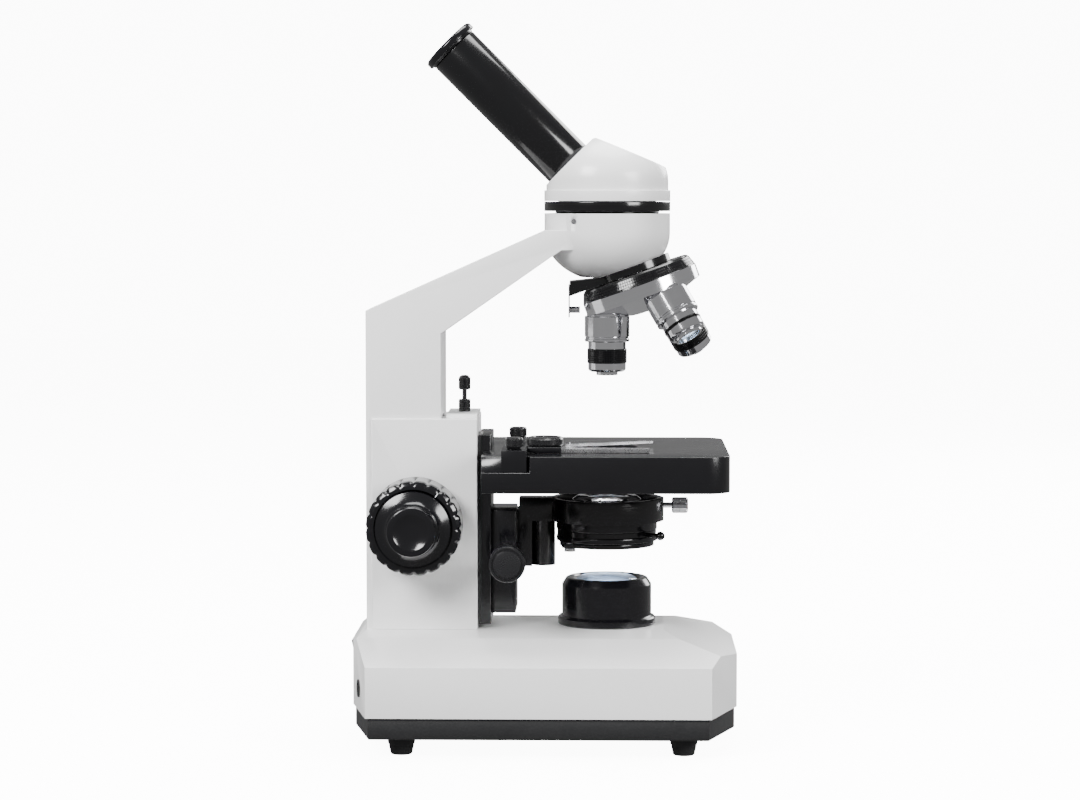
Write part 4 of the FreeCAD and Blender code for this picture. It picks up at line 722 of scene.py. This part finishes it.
@dataclass
class FocusDrive:
    """Coaxial focusing knobs, their shafts and the slide."""

    finishes: Finishes
    flutes: int = 20
    flute_depth: float = 0.9 * MM
    wheel_depth: float = 23.8 * MM
    face_ring: float = 18.4 * MM
    wheel_bore: float = 4.1 * MM
    cap: float = 11.9 * MM
    fine_bore: float = 2.6 * MM
    line: tuple[float, float, float] = (2.2 * MM, 0.35 * MM, 0.2 * MM)

    def build(self) -> None:
        """Build both wheels and both fine knobs, and dress the rest."""
        point, _ = axis_of("coarse_turn")
        low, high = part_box("coarse_knobs")
        radius = (high.z - low.z) / 2
        self.wheels(point, radius, high.y)
        _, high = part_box("fine_knobs")
        self.knobs(point, high.y)
        dress(self.finishes.steel, "coarse_shaft", "fine_shaft")
        dress(self.finishes.brass, "focus_bushes", "focus_rack")
        dress(self.finishes.tray, "focus_collars")
        dress(self.finishes.aluminium, "focus_slide")

    def sides(self) -> list[tuple[str, Vector]]:
        """Return the two ends of the shafts."""
        return [("near", Vector((0, -1, 0))), ("far", Vector((0, 1, 0)))]

    def wheels(self, point: Vector, radius: float, end: float) -> None:
        """The fluted coarse wheels with an index line on each face.

        Args:
            point: The centre of the shafts.
            radius: The wheels' outside radius.
            end: How far out their faces lie.
        """
        start = end - self.wheel_depth
        face, bore = self.face_ring, self.wheel_bore
        count = self.flutes
        rows = band_steps(start + 1.4 * MM, end - 2.4 * MM, 8)
        outline = ([(bore, start), (radius - 1.2 * MM, start),
                    (radius - 0.3 * MM, start + 0.5 * MM)]
                   + [(radius, z) for z in rows]
                   + [(radius - 0.5 * MM, end - 1.2 * MM), (radius - 1.8 * MM, end - 0.3 * MM),
                      (radius - 2.6 * MM, end), (face + 0.4 * MM, end), (face, end - 0.4 * MM),
                      (face, end - 4 * MM), (bore, end - 4 * MM)])

        for side, axis in self.sides():
            turned = Finishes.turned("turned_wheel_" + side, point, axis, True)
            piece = Piece("coarse_wheel_" + side).spin(outline, count * 8)
            for vertex in piece.mesh.verts:
                away = vertex.co.xy.length
                if away > radius - 3 * MM and vertex.co.z > start + 2.5 * MM:
                    turn = math.atan2(vertex.co.y, vertex.co.x)
                    wave = max(0.0, math.cos(count * turn)) ** 3
                    scale = 1 - self.flute_depth * wave / away
                    vertex.co.x *= scale
                    vertex.co.y *= scale
            nodes = ["coarse_knobs"] if side == "near" else []
            piece.move(along(axis, point)).finish(turned, "coarse_drive", "black_plastic",
                                                  nodes, 32.0)
            self.index(side, axis, point, (face + radius - 2.2 * MM) / 2, end)

    def index(self, side: str, axis: Vector, point: Vector, away: float, end: float) -> None:
        """One filled index line on a wheel's face ring.

        Args:
            side: Which wheel, near or far.
            axis: The wheel's outward axis.
            point: The centre of the shafts.
            away: Distance of the line's middle from the axis.
            end: How far out the face ring lies.
        """
        piece = Piece("wheel_index_" + side)
        bmesh.ops.create_cube(piece.mesh, size=1.0)
        bmesh.ops.scale(piece.mesh, vec=self.line, verts=piece.mesh.verts)
        bmesh.ops.translate(piece.mesh, vec=(away, 0, end - 0.05 * MM), verts=piece.mesh.verts)
        piece.soften(0.05 * MM, 30.0, 2)
        upright = Matrix.Rotation(math.radians(55.0 if axis.y < 0 else 125.0), 4, "Y")
        level = Matrix.Translation(point) @ upright.inverted() @ Matrix.Translation(-point)
        piece.move(level @ along(axis, point)).finish(
            self.finishes.white, "coarse_drive", "white_enamel")

    def knobs(self, point: Vector, end: float) -> None:
        """The fine knobs: a dished cone with a ribbed cap.

        Args:
            point: The centre of the shafts.
            end: How far out the knobs reach.
        """
        face = end - 12.6 * MM - 3.4 * MM - 0.6 * MM
        cap, bore = self.cap, self.fine_bore
        root, tip = 17.9, 12.4
        for side, axis in self.sides():
            rows = band_steps(face + 9.6 * MM, end - 1.0 * MM, 2)
            cone = [(root * MM - (root - tip) * MM * math.sin(share * math.pi / 2),
                     face + 4.0 * MM + 4.6 * MM * share) for share in band_steps(0, 1, 8)]
            outline = ([(bore, face), (17.6 * MM, face), (17.95 * MM, face + 0.4 * MM),
                        (17.95 * MM, face + 3.6 * MM)] + cone
                       + [(cap - 0.3 * MM, face + 9.2 * MM)]
                       + [(cap - 0.2 * MM, z) for z in rows]
                       + [(cap - 0.5 * MM, end - 0.3 * MM), (cap - 1.2 * MM, end),
                          (8.6 * MM, end), (7.8 * MM, end - 0.5 * MM),
                          (4.6 * MM, end - 1.5 * MM), (3.6 * MM, end - 1.6 * MM),
                          (0, end - 1.6 * MM), (0, end - 3.9 * MM), (bore, end - 3.9 * MM)])

            def rib(centre: Vector) -> bool:
                """Say whether a facet's centre is on the cap's ribs."""
                return (cap - 0.9 * MM < centre.xy.length < cap
                        and rows[0] < centre.z < rows[-1])

            nodes = ["fine_knobs"] if side == "near" else []
            turned = Finishes.turned("turned_fine_knob_" + side, point, axis, True)
            Piece("fine_knob_" + side).spin(outline, 96).knurl(
                rib, 0.16 * MM, 0.18 * MM).move(along(axis, point)).finish(
                turned, "fine_drive", "black_plastic", nodes, 30.0)


@dataclass
class Stage:
    """Stage, rail, carriage and slide holder."""

    finishes: Finishes
    stage_round: float = 0.9 * MM
    screw_grip: float = 5.6 * MM
    screw_shank: float = 1.75 * MM

    def build(self) -> None:
        """Build and dress the stage's pieces."""
        def outer(edge: bmesh.types.BMEdge) -> bool:
            """Say whether an edge is an outer one of some length."""
            return edge.calc_length() > 1.2 * MM and edge.is_convex

        piece = Piece("lacquered_stage").copy_node("stage")
        piece.soften(self.stage_round, 40.0, 3, outer)
        piece.finish(self.finishes.lacquer, "stage_carrier", "stage_black", ["stage"], 30.0)
        for name, node in (("guide_rail", "focus_rail"),
                           ("lift_carriage", "condenser_carriage"),
                           ("holder_guide_bar", "holder_guide")):
            Piece(name).copy_node(node).soften(0.45 * MM, 40.0, 2).finish(
                self.finishes.lacquer, "stage_carrier", "stage_black", [node])
        Piece("cross_block").copy_node("cross_slide").soften(0.35 * MM, 40.0, 2).finish(
            self.finishes.lacquer, "cross", "stage_black", ["cross_slide"])
        dress(self.finishes.steel, "slide_holder", "slide_finger")
        self.thumbscrews()
        self.disc()

    def thumbscrews(self) -> None:
        """Two knurled screws that clamp the guide to the stage."""
        low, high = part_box("holder_screws")
        radius = (high.x - low.x) / 2
        tall = high.z - low.z
        head, shank = tall - self.screw_grip, self.screw_shank
        outline = [(0, 0), (shank, 0), (shank, head), (radius - 1.0 * MM, head)]
        outline += [(radius - 0.2 * MM, z) for z in band_steps(head + 1.2 * MM,
                                                               tall - 0.9 * MM, 4)]
        outline += [(radius - 0.7 * MM, tall - 0.2 * MM), (radius - 1.3 * MM, tall),
                    (0, tall)]
        for side, y, nodes in (("near", low.y + radius, ["holder_screws"]),
                               ("far", high.y - radius, [])):
            Piece("guide_thumbscrew_" + side).spin(outline, 44).knurl(
                outer_wall(radius), 0.12 * MM, 0.16 * MM).move(
                Matrix.Translation((low.x + radius, y, low.z))).finish(
                self.finishes.knob, "stage_carrier", "black_anodised", nodes, 25.0)

    def disc(self) -> None:
        """The flat knob that drives the cross slide."""
        low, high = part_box("holder_knob")
        radius = (high.x - low.x) / 2
        tall = high.z - low.z
        outline = [(0, 0), (radius - 0.6 * MM, 0)]
        outline += [(radius - 0.2 * MM, z) for z in (0.5 * MM, tall - 1.0 * MM)]
        outline += [(radius - 0.8 * MM, tall - 0.2 * MM), (radius - 1.4 * MM, tall),
                    (radius - 3.0 * MM, tall), (radius - 3.6 * MM, tall - 0.5 * MM),
                    (0, tall - 0.5 * MM)]
        Piece("cross_disc").spin(outline, 72).knurl(
            outer_wall(radius, 0.5 * MM), 0.14 * MM, 0.16 * MM).move(
            Matrix.Translation(((low.x + high.x) / 2, (low.y + high.y) / 2, low.z))).finish(
            self.finishes.knob, "cross_knob", "black_plastic", ["holder_knob"], 25.0)


@dataclass
class Condenser:
    """Condenser, lift, filter holder, screw and knob."""

    finishes: Finishes
    tower_radius: float = 17.4 * MM
    tower_rise: float = 7 * MM
    clamp_grip: float = 8 * MM
    clamp_shank: float = 1.4 * MM
    knob_bore: float = 2.6 * MM

    def build(self) -> None:
        """Build and dress the condenser's pieces."""
        lift = Piece("condenser_arm").copy_node("condenser_lift").soften(0.5 * MM, 40.0, 2)
        lift.finish(self.finishes.lacquer, "condenser", "stage_black", ["condenser_lift"])
        self.body()
        dress(self.finishes.glass, "condenser_lens")
        dress(self.finishes.satin, "iris_lever")
        dress(self.finishes.steel, "filter_pin", "condenser_shaft")
        ring = Piece("filter_ring").copy_node("filter_holder").soften(0.3 * MM, 40.0, 2)
        ring.finish(self.finishes.satin, "filter", "black_anodised", ["filter_holder"])
        self.clamp()
        self.knob()

    def body(self) -> None:
        """Two-tone body: blacked flange below, bright turned tower above."""
        low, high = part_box("condenser_body")
        centre = Vector(((low.x + high.x) / 2, 0, 0))
        black = Finishes.turned("blacked_condenser", centre, UP, True)
        bright = Finishes.turned("bright_condenser", centre, UP)
        piece = Piece("condenser_barrel").copy_node("condenser_body").soften(0.25 * MM, 40.0, 2)
        item = piece.finish(black, "condenser", "black_anodised", ["condenser_body"])
        item.data.materials.append(bright)
        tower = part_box("condenser_lift")[0].z
        edge = high.z - self.tower_rise
        for polygon in item.data.polygons:
            middle = polygon.center
            away = (Vector((middle.x, middle.y, 0)) - centre).length
            if middle.z > edge and away < self.tower_radius and middle.z > tower:
                polygon.material_index = 1

    def clamp(self) -> None:
        """The bright knurled screw that holds the condenser in its ring."""
        _, axis = axis_of("clamp_turn")
        low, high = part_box("condenser_screw")
        radius = (high.z - low.z) / 2
        length = high.x - low.x
        head, shank = length - self.clamp_grip, self.clamp_shank
        outline = [(0, 0), (shank, 0), (shank, head), (radius - 0.6 * MM, head)]
        outline += [(radius - 0.2 * MM, z) for z in band_steps(head + 0.5 * MM,
                                                               length - 0.9 * MM, 2)]
        outline += [(radius - 0.6 * MM, length - 0.3 * MM), (radius - 1.2 * MM, length),
                    (0, length)]
        middle = Vector((low.x, (low.y + high.y) / 2, (low.z + high.z) / 2))
        turned = Finishes.turned("bright_clamp", middle, axis)
        Piece("clamp_thumbscrew").spin(outline, 40).knurl(
            outer_wall(radius, head + 0.5 * MM), 0.12 * MM, 0.16 * MM).move(
            along(axis, middle)).finish(turned, "clamp", "chrome", ["condenser_screw"], 25.0)

    def knob(self) -> None:
        """The condenser's focusing knob with a stepped face."""
        point, _ = axis_of("lift_turn")
        low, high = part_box("condenser_knob")
        radius = (high.z - low.z) / 2
        start, end = -high.y, -low.y
        bore = self.knob_bore
        outline = [(bore, start), (radius - 0.7 * MM, start)]
        outline += [(radius - 0.2 * MM, z) for z in band_steps(start + 0.7 * MM,
                                                               end - 1.0 * MM, 2)]
        outline += [(radius - 0.6 * MM, end - 0.5 * MM), (radius - 1.2 * MM, end - 0.4 * MM),
                    (radius - 1.5 * MM, end - 0.9 * MM), (radius - 1.9 * MM, end - 0.9 * MM),
                    (radius - 2.2 * MM, end - 0.2 * MM), (radius - 2.8 * MM, end),
                    (0, end), (0, end - 2.9 * MM), (bore, end - 2.9 * MM)]
        Piece("lift_knob").spin(outline, 60).knurl(
            outer_wall(radius), 0.14 * MM, 0.16 * MM).move(
            along(Vector((0, -1, 0)), Vector((point.x, 0, point.z)))).finish(
            self.finishes.knob, "lift_drive", "black_plastic", ["condenser_knob"], 25.0)


class Power(Enum):
    """The three objectives, by their order round the turret."""

    TEN = "ten"
    FORTY = "forty"
    FOUR = "four"


@dataclass
class Nosepiece:
    """The turret, its grip ring and the objectives."""

    finishes: Finishes
    seat: float = 58.9 * MM
    body_radius: float = 11.0 * MM

    def build(self) -> None:
        """Build and dress the turret and its objectives."""
        point, axis = axis_of("turret_turn")
        low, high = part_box("objective_ten")
        self.apex = Vector(((low.x + high.x) / 2, 0, 0))
        self.apex.z = point.z - (point.x - self.apex.x) * axis.z / axis.x
        bright = Finishes.turned("bright_turret", self.apex, axis)
        dress(bright, "turret_dome")
        dress(self.finishes.glass, "objective_lenses")
        self.grip(axis)
        lengths = {Power.TEN: 29.0 * MM, Power.FORTY: 34.8 * MM, Power.FOUR: 23.5 * MM}
        for index, power in enumerate(Power):
            turn = Matrix.Rotation(math.tau * index / 3, 4, axis)
            down = turn @ Vector((0, 0, -1))
            self.objective(power, down, lengths[power])

    def grip(self, axis: Vector) -> None:
        """The black ring with fine ribs that the hand turns.

        Args:
            axis: The turret's axis, pointing down.
        """
        start, end = 40.1 * MM, 45.9 * MM
        upper, lower = 26.9 * MM, 29.1 * MM
        rows = band_steps(start + 1.0 * MM, end - 0.9 * MM, 3)
        reach = (lower - upper) / (end - start)
        outline = [(upper - 8 * MM, start), (upper - 1.2 * MM, start),
                   (upper - 0.3 * MM, start + 0.3 * MM)]
        outline += [(upper - 0.1 * MM + (z - start) * reach, z) for z in rows]
        outline += [(lower - 0.1 * MM, end - 0.3 * MM), (lower - 0.3 * MM, end),
                    (upper - 8 * MM, end)]

        def band(centre: Vector) -> bool:
            """Say whether a facet's centre is on the ribs."""
            return centre.xy.length > upper - 0.4 * MM and rows[0] < centre.z < rows[-1]

        Piece("turret_grip").spin(outline, 150).knurl(band, 0.14 * MM, 0.14 * MM).move(
            along(axis, self.apex)).finish(
            self.finishes.satin, "turret", "black_anodised", ["turret_grip_ring"], 28.0)

    def objective(self, power: Power, down: Vector, length: float) -> None:
        """One objective: plated barrel, knurled band and plated nose, open at the tip.

        Args:
            power: Which objective.
            down: Its axis, from its seat to its tip.
            length: Its length below the seat.
        """
        tips = {Power.FOUR: 7.0 * MM, Power.TEN: 5.25 * MM, Power.FORTY: 4.2 * MM}
        body, tip, shoulder = self.body_radius, tips[power], length - 1.7 * MM
        waist, knurled = body - 1.75 * MM, body - 1.45 * MM
        neck = 10.0 * MM
        low, high = 16.0 * MM, shoulder - 4.3 * MM
        count = max(3, round((high - low) / (1.25 * MM)))
        rows = band_steps(low + 0.3 * MM, high - 0.3 * MM, count)
        outline = [(tip - 1.2 * MM, -4.8 * MM), (neck, -4.8 * MM), (neck, 0),
                   (body - 0.3 * MM, 0), (body, 0.3 * MM), (body, 9.9 * MM),
                   (body - 0.45 * MM, 10.3 * MM), (body - 0.45 * MM, 10.9 * MM),
                   (body, 11.3 * MM), (body, 12.2 * MM), (body - 0.3 * MM, 12.55 * MM),
                   (waist, 12.6 * MM), (waist, low), (knurled, low)]
        outline += [(knurled, z) for z in rows]
        outline += [(knurled, high), (waist, high + 0.1 * MM), (waist, shoulder - 1.2 * MM),
                    (waist - 0.5 * MM, shoulder - 0.5 * MM), (body - 3.2 * MM, shoulder),
                    (tip + 1.4 * MM, shoulder), (tip + 1.2 * MM, shoulder + 0.1 * MM),
                    (tip, shoulder + 0.15 * MM), (tip, length - 0.2 * MM),
                    (tip - 0.25 * MM, length), (tip - 1.2 * MM, length)]
        origin = self.apex + down * self.seat
        bright = Finishes.turned("bright_objective_" + power.value, origin, down)

        def band(centre: Vector) -> bool:
            """Say whether a facet's centre is on the knurl."""
            return centre.xy.length > knurled - 0.3 * MM and rows[0] < centre.z < rows[-1]

        piece = Piece("objective_barrel_" + power.value).spin(outline, 72)
        piece.knurl(band, 0.16 * MM, 0.2 * MM)
        item = piece.move(along(down, origin)).finish(
            bright, "turret", "chrome", ["objective_" + power.value], 28.0)
        item.data.materials.append(self.finishes.satin)
        for polygon in item.data.polygons:
            height = (polygon.center - origin).dot(down)
            away = ((polygon.center - origin) - down * height).length
            if low - 0.05 * MM < height < high + 0.05 * MM and away > waist + 0.02 * MM:
                polygon.material_index = 1


@dataclass
class Head:
    """The head's housing, tube and eyepiece."""

    finishes: Finishes
    crown_round: float = 1.6 * MM

    def build(self) -> None:
        """Build and dress the head's pieces."""
        def crown(edge: bmesh.types.BMEdge) -> bool:
            """Say whether an edge is an outer one."""
            return edge.is_convex and edge.calc_length() > 0.4 * MM

        piece = Piece("cast_head").copy_node("head_housing")
        piece.soften(self.crown_round, 26.0, 4, crown)
        piece.finish(self.finishes.white, "head", "white_enamel", ["head_housing"], 40.0)
        _, axis = axis_of("eyepiece_pull")
        centre = (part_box("eyepiece_tube")[0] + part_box("eyepiece_tube")[1]) / 2
        black = Finishes.turned("blacked_tube", centre, axis, True)
        tube = Piece("draw_tube").copy_node("eyepiece_tube").soften(0.3 * MM, 40.0, 2)
        tube.finish(self.finishes.satin, "head", "black_anodised", ["eyepiece_tube"])
        barrel = Piece("eyepiece_shell").copy_node("eyepiece_barrel").soften(0.35 * MM, 40.0, 3)
        barrel.finish(black, "eyepiece", "black_anodised", ["eyepiece_barrel"])
        dress(self.finishes.glass, "eyepiece_lenses", "prism")
        dress(self.finishes.aluminium, "head_dovetail")


# ------------------------------------------------------------------------- studio

@dataclass
class Studio:
    """Pale floor, soft light and the camera."""

    axis_x: float = 0.0315
    distance: float = 1.45
    height: float = 0.2668
    yaw: float = 1.30
    pitch: float = 3.98
    lens: float = 98.6
    air: float = 0.32
    glow: float = 11.0
    sheet: float = 8.0
    wall: float = 4.0

    def build(self) -> None:
        """Set up floor, lights and camera."""
        self.floor()
        self.lights()
        self.camera()

    def floor(self) -> None:
        """Pale paper under the microscope and, lit from within, behind it."""
        for name, turn, place in (("pale_floor", 0.0, (0.0, 0.0, 0.0)),
                                  ("pale_backdrop", 90.0, (0.0, self.wall, 0.0))):
            piece = bmesh.new()
            bmesh.ops.create_grid(piece, x_segments=1, y_segments=1, size=self.sheet)
            bmesh.ops.transform(piece, verts=piece.verts, matrix=Matrix.Translation(place)
                                @ Matrix.Rotation(math.radians(turn), 4, "X"))
            data = bpy.data.meshes.new(name)
            piece.to_mesh(data)
            piece.free()
            item = bpy.data.objects.new(name, data)
            bpy.context.scene.collection.objects.link(item)
            data.materials.append(self.paper(name))
            item.visible_glossy = False
            item.visible_diffuse = False

    def paper(self, name: str) -> bpy.types.Material:
        """Write the paper's material for one sheet.

        Args:
            name: The sheet's name.

        Returns:
            The material.
        """
        graph = Graph(name + "_paper")
        mottle = graph.noise(graph.point, 9.0, 3.0)
        graph.feed(graph.shader.inputs["Base Color"],
                   graph.blend(mottle, (0.93, 0.93, 0.93), (0.95, 0.95, 0.95)))
        graph.feed(graph.shader.inputs["Roughness"], 0.75 + mottle * 0.1)
        graph.shader.inputs["Emission Color"].default_value = (1.0, 1.0, 1.0, 1.0)
        graph.shader.inputs["Emission Strength"].default_value = self.glow
        return graph.material

    def lights(self) -> None:
        """Large soft boxes above and to the sides, and a white surround."""
        world = bpy.data.worlds.new("studio_air")
        world.use_nodes = True
        world.node_tree.nodes["Background"].inputs["Color"].default_value = (1, 1, 1, 1)
        world.node_tree.nodes["Background"].inputs["Strength"].default_value = self.air
        bpy.context.scene.world = world
        boxes = [("key_box", (-0.9, -1.1, 1.1), 0.7, 52.0),
                 ("fill_box", (1.2, -1.0, 0.7), 0.6, 26.0),
                 ("top_box", (0.1, 0.2, 1.6), 1.1, 42.0),
                 ("rim_box", (0.9, 1.3, 0.8), 0.8, 20.0)]
        for name, place, size, power in boxes:
            light = bpy.data.lights.new(name, "AREA")
            light.shape = "SQUARE"
            light.size = size
            light.energy = power
            item = bpy.data.objects.new(name, light)
            item.location = place
            aim = Vector((0.0, 0.0, 0.15)) - Vector(place)
            item.rotation_euler = aim.to_track_quat("-Z", "Y").to_euler()
            bpy.context.scene.collection.objects.link(item)

    def camera(self) -> None:
        """A long lens in front of the near side."""
        data = bpy.data.cameras.new("studio_camera")
        data.lens = self.lens
        data.sensor_width = 36.0
        item = bpy.data.objects.new("studio_camera", data)
        item.location = (self.axis_x, -self.distance, self.height)
        item.rotation_euler = (math.radians(90.0 - self.pitch), 0.0, math.radians(self.yaw))
        bpy.context.scene.collection.objects.link(item)
        bpy.context.scene.camera = item


def main() -> None:
    """Build the microscope's looks in the order in which it is assembled."""
    logging.basicConfig(level=logging.INFO, format="%(message)s")
    finishes = Finishes()
    for part in (Base(finishes), Limb(finishes), FocusDrive(finishes), Stage(finishes),
                 Condenser(finishes), Nosepiece(finishes), Head(finishes), Studio()):
        LOG.info("building %s", type(part).__name__)
        part.build()


if __name__ == "__main__":
    main()
